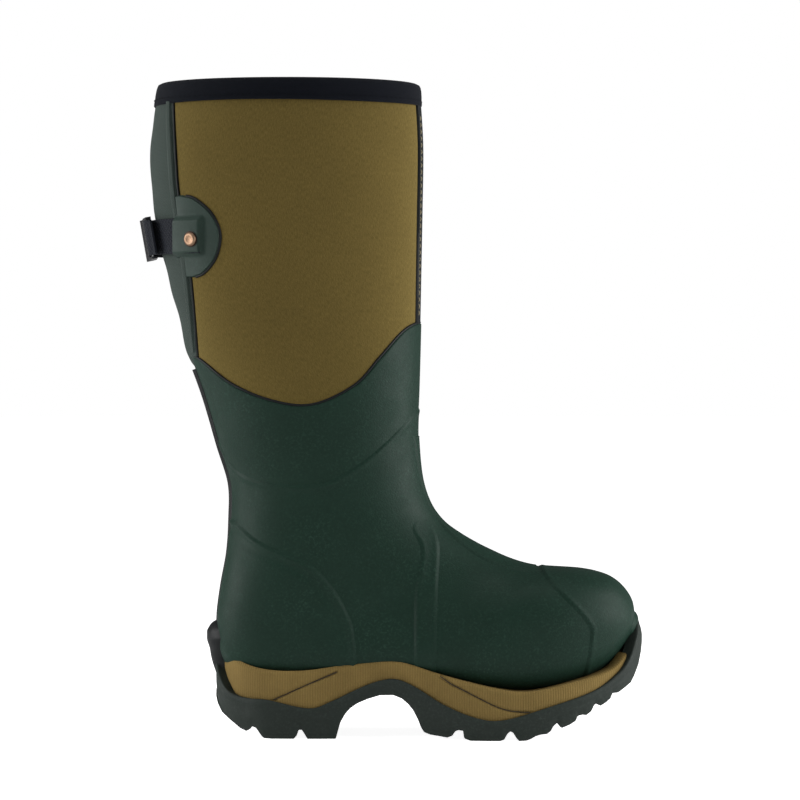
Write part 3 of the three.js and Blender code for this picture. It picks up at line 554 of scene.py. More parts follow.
@dataclass
class SkinGrid:
    """A fine net over part of the last."""

    step: float = 1.5
    first: float = 0.0
    last: float = 25.0
    places: Array = field(init=False)
    normals: Array = field(init=False)
    flat: Array = field(init=False)

    def __post_init__(self) -> None:
        """Lays the net, with its rows about step apart and its seam at the front."""
        fine = np.linspace(self.first, min(self.last, LAST.end + 0.985), 500)
        angle = np.linspace(0, 2 * math.pi, 25)[:-1]
        walk = np.linalg.norm(np.diff(LAST.place(fine[:, None], angle[None]), axis=0), axis=-1)
        run = np.concatenate([[0], np.cumsum(walk.mean(1) * 0.5 + walk.max(1) * 0.5)])
        rows = max(int(run[-1] / self.step), 4)
        section = np.interp(np.linspace(0, run[-1], rows), run, fine)
        columns = int(420 / self.step)
        angle = np.linspace(0, 2 * math.pi, 2001)
        round_ = LAST.place(np.full(2001, 3.0), angle)
        arc = np.concatenate([[0], np.cumsum(np.linalg.norm(np.diff(round_, axis=0), axis=1))])
        turn = np.interp(np.linspace(0, arc[-1], columns + 1), arc, angle)
        s, v = np.meshgrid(section, turn, indexing="ij")
        self.places = LAST.place(s, v)
        self.normals = LAST.normal(s, v)
        across = np.linalg.norm(np.diff(self.places, axis=1), axis=-1)
        down = np.linalg.norm(np.diff(self.places, axis=0), axis=-1)
        u = np.concatenate([np.zeros((rows, 1)), np.cumsum(across, 1)], 1)
        u -= u[:, [columns // 2]]
        w = np.concatenate([np.zeros((1, columns + 1)), np.cumsum(down, 0)], 0)
        self.flat = np.stack([u, -w], -1) * MM

    @property
    def x(self) -> Array:
        """Each place's X."""
        return self.places[..., 0]

    @property
    def y(self) -> Array:
        """Each place's Y."""
        return self.places[..., 1]

    @property
    def z(self) -> Array:
        """Each place's Z."""
        return self.places[..., 2]

    def true(self, values: Array) -> Array:
        """Scales a side-view depth to a distance measured over the surface."""
        fi, fj = np.gradient(values)
        ei, ej = np.gradient(self.places, axis=(0, 1))
        a, b, c = (ei * ei).sum(-1), (ei * ej).sum(-1), (ej * ej).sum(-1)
        slope = np.sqrt(np.abs(fi * fi * c - 2 * fi * fj * b + fj * fj * a) / np.maximum(a * c - b * b, 1e-9))
        return values / np.clip(slope, 0.3, 1.2)

    def under(self, line: Sequence[Pair]) -> Array:
        """The depth below a side-view line."""
        run = smooth_line(line, 60)
        outline = np.vstack([[(BEHIND, -60), (BEHIND, run[0, 1])], run, [(AHEAD, run[-1, 1]), (AHEAD, -60)]])
        edge = np.vstack([[(BEHIND, run[0, 1])], run, [(AHEAD, run[-1, 1])]])
        return self.true(depth_in(self.x, self.z, outline, edge))

    def behind(self, line: Sequence[Pair]) -> Array:
        """The depth behind a side-view line that runs down."""
        run = smooth_line(line, 40)
        outline = np.vstack([run, [(BEHIND, run[-1, 1]), (BEHIND, run[0, 1])]])
        return self.true(depth_in(self.x, self.z, outline, run))

    def within(self, outline: Array) -> Array:
        """The depth inside a closed side-view outline."""
        return self.true(depth_in(self.x, self.z, outline))

    def skin(self, cuts: Sequence[Cut], top: Callable[[Array, Array], Array], bottom: float | Array) -> Solid:
        """Cuts a skin out of the net and gives it thickness.

        Args:
            cuts: The fields that limit it.
            top: How far out its outer face lies, from its places and its fields' values.
            bottom: How far out its inner face lies.

        Returns:
            The closed skin.
        """
        rows, columns = self.x.shape
        table = np.concatenate([self.places.reshape(-1, 3), self.normals.reshape(-1, 3),
                                self.flat.reshape(-1, 2)]
                               + [c.values.reshape(-1, 1) for c in cuts], 1)
        index = np.arange(rows * columns).reshape(rows, columns)
        whole = all((c.values[:, 0] >= c.low).any() for c in cuts)
        if whole:
            index[:, -1] = index[:, 0]
        quads = np.stack([index[:-1, :-1], index[1:, :-1], index[1:, 1:], index[:-1, 1:]], -1).reshape(-1, 4)
        for k, c in enumerate(cuts):
            value = table[quads, 8 + k]
            quads = quads[(value.max(1) > c.low) & (value.min(1) < c.high)]
        extra: list[Array] = []
        loose: list[list[int]] = []
        count = len(table)
        made: dict[tuple[int, int, int, float], int] = {}

        def read(i: int) -> Array:
            """One corner's row of the table."""
            return table[i] if i < count else extra[i - count]

        def split(face: list[int], column: int, level: float) -> tuple[list[int], list[int]]:
            """One face's parts below and above a level."""
            low: list[int] = []
            high: list[int] = []
            for a, b in zip(face, face[1:] + face[:1]):
                va, vb = read(a)[column], read(b)[column]
                if va <= level:
                    low.append(a)
                if va >= level:
                    high.append(a)
                if (va < level < vb) or (vb < level < va):
                    key = (min(a, b), max(a, b), column, level)
                    if key not in made:
                        t = (level - va) / (vb - va)
                        row = read(a) * (1 - t) + read(b) * t
                        row[column] = level
                        extra.append(row)
                        made[key] = count + len(extra) - 1
                    low.append(made[key])
                    high.append(made[key])
            return (low if len(low) > 2 else []), (high if len(high) > 2 else [])

        for k, c in enumerate(cuts):
            column = 8 + k
            levels = sorted({*c.levels, c.low, *([c.high] if math.isfinite(c.high) else [])})
            value = table[quads, column]
            crossed = np.zeros(len(quads), bool)
            for level in levels:
                crossed |= (value.min(1) < level) & (value.max(1) > level)
            loose += quads[crossed].tolist()
            quads = quads[~crossed]
            for level in levels:
                parts: list[list[int]] = []
                for face in loose:
                    values = [read(i)[column] for i in face]
                    if min(values) < level < max(values):
                        parts += [part for part in split(face, column, level) if part]
                    else:
                        parts.append(face)
                loose = parts
            loose = [f for f in loose if c.low - 1e-6 <= np.mean([read(i)[column] for i in f]) <= c.high
                     + 1e-6]
            value = table[quads, column].mean(1)
            quads = quads[(value >= c.low) & (value <= c.high)]
        rows_all = np.vstack([table, np.array(extra)]) if extra else table
        faces = quads.tolist() + [f for f in loose if len(set(f)) > 2]
        used = sorted({i for face in faces for i in face})
        new = {old: i for i, old in enumerate(used)}
        faces = [[new[i] for i in face] for face in faces]
        data = rows_all[used]
        places, normals, flat, values = data[:, :3], data[:, 3:6], data[:, 6:8], data[:, 8:]
        outer = places + normals * top(places, values)[:, None]
        low_ = bottom if isinstance(bottom, float) else top(places, values) - bottom
        inner = places + normals * (low_[:, None] if isinstance(low_, np.ndarray) else low_)
        n = len(used)
        sides = {(a, b) for face in faces for a, b in zip(face, face[1:] + face[:1])}
        walls = [[b, a, a + n, b + n] for a, b in sides if (b, a) not in sides]
        back = [[i + n for i in reversed(face)] for face in faces]
        return Solid(np.vstack([outer, inner]), faces + back + walls, np.vstack([flat, flat]))

    def trace(self, values: Array, side: Optional[Side] = None) -> tuple[Array, Array]:
        """Follows the line where a field passes zero.

        Args:
            values: The field.
            side: The side of the boot, for a line that runs down it. None is for a line right round.

        Returns:
            The line's places and outward directions.
        """
        table = np.concatenate([self.places, self.normals], -1)
        if side is None:
            lines, fields = np.swapaxes(table, 0, 1)[:-1], values.T[:-1]
        else:
            keep = self.y[self.x.shape[0] // 2] * side.value > 0.5
            lines, fields = table[:, keep], values[:, keep]
        found = []
        for row, value in zip(lines, fields):
            hit = np.nonzero((value[:-1] <= 0) != (value[1:] <= 0))[0]
            if len(hit):
                k = hit[0]
                t = value[k] / (value[k] - value[k + 1])
                found.append(row[k] * (1 - t) + row[k + 1] * t)
        data = np.array(found)
        return data[:, :3], data[:, 3:]


# ---- Materials -----------------------------------------------------------------------------------
def tone(red: float, green: float, blue: float) -> tuple[float, float, float, float]:
    """A display colour from 0 to 255 as the linear colour that a shader takes."""
    line = [c / 255 for c in (red, green, blue)]
    linear = [c / 12.92 if c <= 0.04045 else ((c + 0.055) / 1.055) ** 2.4 for c in line]
    return (linear[0], linear[1], linear[2], 1.0)


Socket = bpy.types.NodeSocket
Value = float | tuple | bpy.types.NodeSocket


class Graph:
    """Wires the nodes of one tree."""

    def __init__(self, tree: bpy.types.NodeTree) -> None:
        """Takes the tree."""
        self.tree = tree

    def add(self, kind: str, **settings: object) -> bpy.types.Node:
        """Adds a node and sets its fields."""
        node = self.tree.nodes.new(kind)
        for key, value in settings.items():
            setattr(node, key, value)
        return node

    def feed(self, socket: Socket, value: Value) -> None:
        """Links a socket to another, or sets it."""
        if isinstance(value, bpy.types.NodeSocket):
            self.tree.links.new(value, socket)
        else:
            socket.default_value = value

    def math(self, operation: str, *values: Value) -> Socket:
        """A sum, product or other operation on numbers."""
        node = self.add("ShaderNodeMath", operation=operation)
        for socket, value in zip(node.inputs, values):
            self.feed(socket, value)
        return node.outputs[0]

    def mix(self, factor: Value, low: Value, high: Value) -> Socket:
        """A blend from the low colour to the high one."""
        node = self.add("ShaderNodeMix", data_type="RGBA")
        for index, value in ((0, factor), (6, low), (7, high)):
            self.feed(node.inputs[index], value)
        return node.outputs[2]

    def span(self, value: Value, a: float, b: float, c: float, d: float) -> Socket:
        """A number moved from the range a to b into the range c to d."""
        node = self.add("ShaderNodeMapRange")
        for socket, given in zip(node.inputs, (value, a, b, c, d)):
            self.feed(socket, given)
        return node.outputs[0]

    def stretched(self, vector: Socket, along: float, across: float) -> Socket:
        """A flat pattern place in units of along and across millimetres."""
        node = self.add("ShaderNodeMapping")
        self.feed(node.inputs["Vector"], vector)
        self.feed(node.inputs["Scale"], (1 / (along * MM), 1 / (across * MM), 1 / (across * MM)))
        return node.outputs[0]

    def noise(self, vector: Socket, size: Value, detail: float = 2.0) -> Socket:
        """A noise value from 0 to 1, with lumps of that size."""
        node = self.add("ShaderNodeTexNoise")
        self.feed(node.inputs["Vector"], vector)
        self.feed(node.inputs["Scale"], size)
        self.feed(node.inputs["Detail"], detail)
        return node.outputs["Fac"]

    def bump(self, height: Socket, depth: float, strength: float = 1.0) -> Socket:
        """A normal from a height of that depth in millimetres."""
        node = self.add("ShaderNodeBump")
        self.feed(node.inputs["Strength"], strength)
        self.feed(node.inputs["Distance"], depth * MM)
        self.feed(node.inputs["Height"], height)
        return node.outputs[0]

    def place(self, kind: str) -> Socket:
        """The Object or UV place of a shaded point."""
        return self.add("ShaderNodeTexCoord").outputs[kind]

    def group(self, tree: bpy.types.NodeTree, **inputs: Value) -> Socket:
        """Uses a node group, and gives its output."""
        node = self.add("ShaderNodeGroup", node_tree=tree)
        for key, value in inputs.items():
            self.feed(node.inputs[key], value)
        return node.outputs[0]


def new_group(name: str, inputs: dict[str, str], output: str) -> tuple[Graph, bpy.types.Node, bpy.types.Node]:
    """Makes an empty node group.

    Args:
        name: The group's name.
        inputs: The socket type of each input.
        output: The socket type of its one output.

    Returns:
        Its graph, its input node and its output node.
    """
    tree = bpy.data.node_groups.new(name, "ShaderNodeTree")
    for key, kind in inputs.items():
        tree.interface.new_socket(key, in_out="INPUT", socket_type=kind)
    tree.interface.new_socket("Result", in_out="OUTPUT", socket_type=output)
    graph = Graph(tree)
    return graph, graph.add("NodeGroupInput"), graph.add("NodeGroupOutput")


NUMBER, COLOR, VECTOR = "NodeSocketFloat", "NodeSocketColor", "NodeSocketVector"


class Effects:
    """The effects that several materials share, each made once."""

    made: dict[str, bpy.types.NodeTree] = {}

    @classmethod
    def grain(cls) -> bpy.types.NodeTree:
        """Fine lumps of Size millimetres, as a height."""
        if "grain" not in cls.made:
            graph, given, out = new_group("FineGrain", {"Vector": VECTOR, "Size": NUMBER}, NUMBER)
            scale = graph.math("DIVIDE", 1000.0, given.outputs["Size"])
            fine = graph.noise(given.outputs["Vector"], scale, 3.0)
            cell = graph.add("ShaderNodeTexVoronoi", feature="SMOOTH_F1")
            graph.feed(cell.inputs["Vector"], given.outputs["Vector"])
            graph.feed(cell.inputs["Scale"], graph.math("MULTIPLY", scale, 0.8))
            both = graph.math("ADD", graph.math("MULTIPLY", fine, 0.6),
                              graph.math("MULTIPLY", cell.outputs[0], 0.5))
            graph.feed(out.inputs[0], both)
            cls.made["grain"] = graph.tree
        return cls.made["grain"]

    @classmethod
    def mottle(cls) -> bpy.types.NodeTree:
        """A colour made uneven by Amount, in broad patches and fine specks."""
        if "mottle" not in cls.made:
            graph, given, out = new_group(
                "Mottle", {"Color": COLOR, "Vector": VECTOR, "Size": NUMBER, "Amount": NUMBER}, COLOR)
            scale = graph.math("DIVIDE", 1000.0, given.outputs["Size"])
            broad = graph.noise(given.outputs["Vector"], scale, 4.0)
            fine = graph.noise(given.outputs["Vector"], graph.math("MULTIPLY", scale, 22.0), 1.0)
            both = graph.math("ADD", graph.math("MULTIPLY", broad, 0.6), graph.math("MULTIPLY", fine, 0.4))
            shift = graph.math("MULTIPLY", graph.math("SUBTRACT", both, 0.5), given.outputs["Amount"])
            node = graph.add("ShaderNodeHueSaturation")
            graph.feed(node.inputs["Color"], given.outputs["Color"])
            graph.feed(node.inputs["Value"], graph.math("ADD", graph.math("MULTIPLY", shift, 2.0), 1.0))
            graph.feed(out.inputs[0], node.outputs[0])
            cls.made["mottle"] = graph.tree
        return cls.made["mottle"]

    @classmethod
    def weave(cls) -> bpy.types.NodeTree:
        """Threads that pass over and under each other, Pitch millimetres apart, as a height."""
        if "weave" not in cls.made:
            graph, given, out = new_group("Weave", {"Vector": VECTOR, "Pitch": NUMBER}, NUMBER)
            parts = graph.add("ShaderNodeSeparateXYZ")
            graph.feed(parts.inputs[0], given.outputs["Vector"])
            rate = graph.math("DIVIDE", 1000.0 * math.pi, given.outputs["Pitch"])
            u, v = (graph.math("MULTIPLY", parts.outputs[k], rate) for k in (0, 1))
            lift = graph.math("MULTIPLY", graph.math("SINE", u), graph.math("SINE", v))
            across = graph.math("ABSOLUTE", graph.math("SINE", u))
            along = graph.math("ABSOLUTE", graph.math("SINE", v))
            over = graph.math("GREATER_THAN", lift, 0.0)
            first = graph.math("MULTIPLY", over, across)
            second = graph.math("MULTIPLY", graph.math("SUBTRACT", 1.0, over), along)
            graph.feed(out.inputs[0], graph.math("ADD", first, second))
            cls.made["weave"] = graph.tree
        return cls.made["weave"]


@dataclass(frozen=True)
class Finish:
    """A plain finish, and the base of every other one."""

    name: str
    color: tuple[int, int, int]
    roughness: float = 0.6
    metallic: float = 0.0
    specular: float = 0.5

    def make(self) -> bpy.types.Material:
        """Makes the material.

        Returns:
            The finished material.
        """
        material = bpy.data.materials.new(self.name)
        material.use_nodes = True
        graph = Graph(material.node_tree)
        shader = material.node_tree.nodes["Principled BSDF"]
        graph.feed(shader.inputs["Base Color"], tone(*self.color))
        graph.feed(shader.inputs["Roughness"], self.roughness)
        graph.feed(shader.inputs["Metallic"], self.metallic)
        graph.feed(shader.inputs["Specular IOR Level"], self.specular)
        self.dress(graph, shader)
        return material

    def dress(self, graph: Graph, shader: bpy.types.Node) -> None:
        """Adds the finish's texture."""

    def mottled(self, graph: Graph, shader: bpy.types.Node, size: float, amount: float) -> None:
        """Makes the base colour uneven."""
        color = graph.group(Effects.mottle(), Color=tone(*self.color), Vector=graph.place("Object"),
                            Size=size,
                            Amount=amount)
        graph.feed(shader.inputs["Base Color"], color)


@dataclass(frozen=True)
class KnitFinish(Finish):
    """Neoprene's knitted jersey face, with fine ribs that run down it and a pale sheen at grazing angles,
    which is painted into the colour as well as given by the shader.
    """

    sheen: tuple[int, int, int] = (136, 119, 69)

    def dress(self, graph: Graph, shader: bpy.types.Node) -> None:
        """Adds ribs, streaks and the sheen, partly painted into the colour."""
        flat = graph.place("UV")
        streak = graph.noise(graph.stretched(flat, 0.6, 2.6), 1.0, 2.0)
        fine = graph.noise(graph.stretched(flat, 0.45, 0.6), 1.0, 1.0)
        both = graph.math("ADD", graph.math("MULTIPLY", streak, 0.6), graph.math("MULTIPLY", fine, 0.4))
        # Painted sheen: the colour turns paler towards grazing angles, where a lamp's sheen would show.
        facing = graph.add("ShaderNodeLayerWeight")
        graph.feed(facing.inputs["Blend"], 0.32)
        edge = graph.math("POWER", facing.outputs["Facing"], 1.7)
        color = graph.mix(edge, tone(*self.color), tone(*self.sheen))
        color = graph.group(Effects.mottle(), Color=color, Vector=graph.place("Object"), Size=60.0,
                            Amount=0.22)
        # Painted shade: the colour darkens where the knit's height is low, in its hollows.
        dark = graph.mix(graph.span(both, 0.36, 0.64, 0.5, 0.0), color, tone(*(c * 0.55 for c in self.color)))
        graph.feed(shader.inputs["Base Color"], dark)
        graph.feed(shader.inputs["Sheen Weight"], 0.12)
        graph.feed(shader.inputs["Sheen Tint"], tone(*self.sheen))
        graph.feed(shader.inputs["Normal"], graph.bump(both, 0.14, 0.8))


@dataclass(frozen=True)
class RubberFinish(Finish):
    """Moulded rubber with a fine pebbled skin."""

    pebble: float = 0.9
    depth: float = 0.16
    uneven: float = 0.3
    flecks_and_glints: float = 0.55

    def dress(self, graph: Graph, shader: bpy.types.Node) -> None:
        """Adds the pebble, the pale specks, which are partly the grain's own flecks and partly painted glints
        on it, and the dusty unevenness.
        """
        place = graph.place("Object")
        height = graph.group(Effects.grain(), Vector=place, Size=self.pebble)
        base = graph.group(Effects.mottle(), Color=tone(*self.color), Vector=place, Size=45.0,
                           Amount=self.uneven)
        patches = graph.span(graph.noise(place, 28.0, 3.0), 0.35, 0.7, 0.15, 1.0)
        # Pale specks: partly flecks in the rubber's grain, partly painted glints of light on its pebbled
        # skin.
        specks = graph.span(graph.noise(place, 620.0, 2.0), 0.5, 0.72, 0.0, self.flecks_and_glints)
        pale = tone(*(c * 1.2 + 13 for c in self.color))
        graph.feed(shader.inputs["Base Color"], graph.mix(graph.math("MULTIPLY", specks, patches), base,
                                                          pale))
        rough = graph.span(graph.noise(place, 70.0, 3.0), 0.3, 0.7, self.roughness - 0.05,
                           self.roughness + 0.07)
        graph.feed(shader.inputs["Roughness"], rough)
        graph.feed(shader.inputs["Normal"], graph.bump(height, self.depth))


@dataclass(frozen=True)
class RibbedFinish(Finish):
    """Foam moulded with fine upright ribs."""

    pitch: float = 1.7

    def dress(self, graph: Graph, shader: bpy.types.Node) -> None:
        """Adds the ribs, with painted shade in their valleys."""
        parts = graph.add("ShaderNodeSeparateXYZ")
        graph.feed(parts.inputs[0], graph.place("UV"))
        wave = graph.math("SINE", graph.math("MULTIPLY", parts.outputs[0], 2 * math.pi / (self.pitch * MM)))
        rib = graph.span(wave, -1.0, 1.0, 0.0, 1.0)
        color = graph.group(Effects.mottle(), Color=tone(*self.color), Vector=graph.place("Object"),
                            Size=18.0,
                            Amount=0.42)
        # Painted shade: the colour darkens in the valleys between the ribs.
        shaded = graph.mix(graph.span(rib, 0.0, 0.6, 0.24, 0.0), color, tone(*(c * 0.5 for c in self.color)))
        graph.feed(shader.inputs["Base Color"], shaded)
        graph.feed(shader.inputs["Normal"], graph.bump(rib, 0.2, 0.7))


@dataclass(frozen=True)
class WovenFinish(Finish):
    """Cloth, tape or webbing of that thread pitch."""

    pitch: float = 1.1
    depth: float = 0.25

    def dress(self, graph: Graph, shader: bpy.types.Node) -> None:
        """Adds the threads, with painted shade where they dip under each other."""
        height = graph.group(Effects.weave(), Vector=graph.place("UV"), Pitch=self.pitch)
        color = graph.group(Effects.mottle(), Color=tone(*self.color), Vector=graph.place("Object"),
                            Size=12.0,
                            Amount=0.2)
        # Painted shade: the colour darkens where the weave's height is low, between the threads.
        shaded = graph.mix(graph.span(height, 0.0, 0.8, 0.6, 0.0), color,
                           tone(*(c * 0.35 for c in self.color)))
        graph.feed(shader.inputs["Base Color"], shaded)
        graph.feed(shader.inputs["Sheen Weight"], 0.05)
        graph.feed(shader.inputs["Normal"], graph.bump(height, self.depth))


@dataclass(frozen=True)
class FleeceFinish(Finish):
    """A soft brushed pile."""

    tuft: float = 2.4
    depth: float = 0.9

    def dress(self, graph: Graph, shader: bpy.types.Node) -> None:
        """Adds the pile."""
        self.mottled(graph, shader, 14.0, 0.4)
        height = graph.group(Effects.grain(), Vector=graph.place("Object"), Size=self.tuft)
        graph.feed(shader.inputs["Sheen Weight"], 0.4)
        graph.feed(shader.inputs["Normal"], graph.bump(height, self.depth))


@dataclass(frozen=True)
class GlossFinish(Finish):
    """Moulded plastic or plated metal with light scuffs."""

    coat: float = 0.4
    scuff: float = 0.06

    def dress(self, graph: Graph, shader: bpy.types.Node) -> None:
        """Adds the coat and the scuffs."""
        place = graph.place("Object")
        graph.feed(shader.inputs["Coat Weight"], self.coat)
        rough = graph.span(graph.noise(place, 900.0, 4.0), 0.35, 0.7, self.roughness,
                           self.roughness + self.scuff * 3)
        graph.feed(shader.inputs["Roughness"], rough)
        graph.feed(shader.inputs["Normal"], graph.bump(graph.noise(place, 400.0, 2.0), self.scuff))


@dataclass(frozen=True)
class FloorFinish(Finish):
    """A pale, matt floor that looks evenly lit."""

    def dress(self, graph: Graph, shader: bpy.types.Node) -> None:
        """Adds the even light."""
        seen = graph.add("ShaderNodeLightPath").outputs["Is Camera Ray"]
        graph.feed(shader.inputs["Emission Color"], tone(*self.color))
        graph.feed(shader.inputs["Emission Strength"], graph.math("MULTIPLY", seen, 1.02))


class Palette:
    """Every material of the boot."""

    def __init__(self) -> None:
        """Makes them."""
        self.neoprene = KnitFinish("neoprene_jersey", (102, 87, 45), 0.9, specular=0.08).make()
        self.bootie = KnitFinish("bootie_jersey", (40, 42, 40), 0.85, specular=0.2, sheen=(60, 62, 60)).make()
        self.green = RubberFinish("dark_green_rubber", (24, 45, 36), 0.52, specular=0.13).make()
        self.tab = RubberFinish("tab_rubber", (34, 50, 43), 0.55, specular=0.22, pebble=0.7,
                                depth=0.08).make()
        self.black = RubberFinish("black_rubber", (13, 17, 18), 0.5, specular=0.22, pebble=0.6, depth=0.06,
                                  flecks_and_glints=0.2).make()
        self.outsole = RubberFinish("outsole_rubber", (36, 43, 39), 0.62, specular=0.2, pebble=1.3, depth=0.1,
                                    flecks_and_glints=0.5).make()
        self.foam = RibbedFinish("ribbed_foam", (121, 101, 58), 0.85, specular=0.12).make()
        # A dark colour for the cords laid in the foam's grooves: painted shade.
        self.groove = Finish("painted_groove_shade", (44, 36, 24), 0.85).make()
        self.gusset = WovenFinish("gusset_cloth", (48, 61, 55), 0.7, specular=0.25, pitch=0.9).make()
        self.binding = WovenFinish("binding_twill", (6, 10, 19), 0.85, specular=0.08, pitch=0.8,
                                   depth=0.15).make()
        self.webbing = WovenFinish("webbing_weave", (12, 17, 27), 0.7, specular=0.15, pitch=1.5,
                                   depth=0.3).make()
        self.plastic = GlossFinish("buckle_plastic", (9, 10, 16), 0.2, coat=0.6).make()
        self.copper = GlossFinish("copper_plate", (150, 122, 100), 0.42, metallic=1.0, coat=0.0).make()
        self.ring = GlossFinish("rivet_burr", (58, 46, 40), 0.45, metallic=1.0, coat=0.0).make()
        self.lining = FleeceFinish("lining_pile", (72, 70, 62), 0.95, specular=0.1).make()
        self.footbed = WovenFinish("footbed_cloth", (52, 54, 56), 0.9, specular=0.15, pitch=1.6).make()
        self.board = FleeceFinish("fibre_board", (150, 128, 92), 0.9, tuft=3.0, depth=0.1).make()
        self.steel = GlossFinish("spring_steel", (150, 152, 155), 0.35, metallic=1.0, coat=0.0,
                                 scuff=0.1).make()
        self.thread = Finish("black_thread", (8, 10, 16), 0.8, specular=0.1).make()
        self.pale = Finish("pale_thread", (150, 140, 112), 0.7).make()
        self.floor = FloorFinish("floor", (246, 246, 246), 0.9, specular=0.1).make()


# ---- Shaft ---------------------------------------------------------------------------------------
STRAP_Z = 340.0


def bead(value: Array, centre: float, width: float) -> Array:
    """A soft ridge of height 1 about a value."""
    return np.exp(-(((value - centre) / width) ** 2))


@dataclass
class Shaft:
    """The neoprene leg with its binding, seam tape, rear gusset and lining."""

    palette: Palette
    foot_z: float = 192.0
    binding_drop: float = 13.0
    tape_half: float = 14.0
    strip_width: float = 7.5
    wave: float = 0.45
    first_span: float = 38.5
    grid: SkinGrid = field(init=False)

    def __post_init__(self) -> None:
        """Lays the net."""
        self.grid = SkinGrid(step=1.5, first=0.0, last=9.6)
        self.rear = self.grid.behind(LINES.gusset)
        self.cuff = self.grid.under(LINES.cuff)

    def soft(self, places: Array) -> Array:
        """The soft unevenness of neoprene."""
        return self.wave * ripple(places, 95.0, 3) * rise(LINES.top - places[:, 2], 4, 50)

    def build(self) -> None:
        """Builds every piece of the leg."""
        for side in Side:
            self.panel(side)
            self.strip(side)
        self.tape()
        self.gusset()
        self.binding()
        self.lining()

    def panel(self, side: Side) -> None:
        """One half of the neoprene, with the black piping down its rear edge."""
        g = self.grid
        half = side.value * g.y - 0.15
        cuts = (Cut(-self.rear, levels=(0.6, 1.5)), Cut(g.z - self.foot_z), Cut(LINES.top - 1.5 - g.z),
                Cut(half))

        def top(places: Array, values: Array) -> Array:
            """The outer face, rounded over at the rear edge."""
            return self.soft(places) - 1.3 * (1 - rise(values[:, 0], 0, 1.6))

        solid = g.skin(cuts, top, -5.0)
        label = f"neoprene_{side.label}"
        Piece(label, solid, self.palette.neoprene, Slot.NEOPRENE, (f"shaft_panel_{side.label}",)).build()
        line, out = g.trace(self.rear + 0.2, side)
        keep = (line[:, 2] < LINES.top - 3) & (line[:, 2] > 246)
        line, out = line[keep][::2], out[keep][::2]
        pipe = sweep(line + out * 0.15, ring(0.85, 10), out)
        Piece(f"edge_piping_{side.label}", pipe, self.palette.black, Slot.BINDING).build()

    def strip(self, side: Side) -> None:
        """The raised strip along one edge of the gusset."""
        g = self.grid
        cuts = (Cut(self.rear - 0.4, levels=(0.5, 1.2, 2.0, 5.0, 6.2), high=self.strip_width),
                Cut(side.value * g.y - 3.0), Cut(g.z - 262.0), Cut(LINES.top - 12 - g.z))

        def top(places: Array, values: Array) -> Array:
            """A ridge with a valley on its front edge."""
            f = values[:, 0]
            return self.soft(places) + 0.2 + 2.0 * rise(f, 0.2,
                                                        2.2) * (1 - 0.75 * rise(f, 5.0, self.strip_width))

        solid = g.skin(cuts, top, 0.05)
        Piece(f"edge_strip_{side.label}", solid, self.palette.gusset, Slot.GUSSET,
              (f"gusset_strip_{side.label}",)).build()

    def tape(self) -> None:
        """The tape over the front seam, with a row of stitches along each edge."""
        g = self.grid
        across = g.true(self.tape_half - np.abs(g.y))
        cuts = (Cut(across, levels=(0.5, 1.2, 2.0)), Cut(g.x + 40.0), Cut(6.0 - self.cuff),
                Cut(LINES.top - 3 - g.z))

        def top(places: Array, values: Array) -> Array:
            """A thin tape with a soft fold at each edge."""
            f = values[:, 0]
            return self.soft(places) + 0.1 + 1.3 * rise(f, 0, 0.9) + 0.25 * bead(f, 1.4, 0.7)

        solid = g.skin(cuts, top, 0.05)
        Piece("seam_tape", solid, self.palette.black, Slot.BLACK, ("front_seam_tape",)).build()
        rows = []
        for side in Side:
            line, out = self.front_line(self.tape_half - 3.2, side, 1.45)
            rows.append(stitches(line, out, 4.6, 2.9, 0.38))
        Piece("seam_stitches", joined(rows), self.palette.pale, Slot.BLACK).build()

    def front_line(self, reach: float, side: Side, out: float) -> tuple[Array, Array]:
        """A line down the front, that far to one side."""
        g = self.grid
        half = g.x.shape[1] // 4
        columns = slice(0, half) if g.y[0, half // 2] * side.value > 0 else slice(-half, None)
        points, ways = [], []
        for row in range(0, g.x.shape[0], 2):
            y = np.abs(g.y[row, columns])
            order = np.argsort(y)
            spot = np.array([np.interp(reach, y[order], g.places[row, columns][order, k]) for k in range(3)])
            way = np.array([np.interp(reach, y[order], g.normals[row, columns][order, k]) for k in range(3)])
            low = height_along(LINES.cuff, spot[0:1])[0]
            if low + 1 < spot[2] < LINES.top - 17:
                points.append(spot + way * (out + self.soft(spot[None])[0]))
                ways.append(way)
        return np.array(points), np.array(ways)

    def gusset(self) -> None:
        """The cloth of the gusset, folded in softly down its middle."""
        g = self.grid
        cuts = (Cut(self.rear - 0.6), Cut(g.z - 240.0), Cut(LINES.top - 1.5 - g.z))

        def top(places: Array, values: Array) -> Array:
            """A slack face with a fold down the middle."""
            fold = bead(places[:, 1], 0, 3.0) * rise(LINES.top - places[:, 2], 12, 60)
            pleat = bead(places[:, 2], 262, 13) * bead(places[:, 1], 0, 15) * rise(places[:, 2], 246, 256)
            return 0.4 + self.soft(places) - 0.9 * fold + 0.35 * ripple(places, 26.0, 8) + 3.8 * pleat

        solid = g.skin(cuts, top, -1.6)
        Piece("rear_gusset", solid, self.palette.gusset, Slot.GUSSET, ("gusset",)).build()

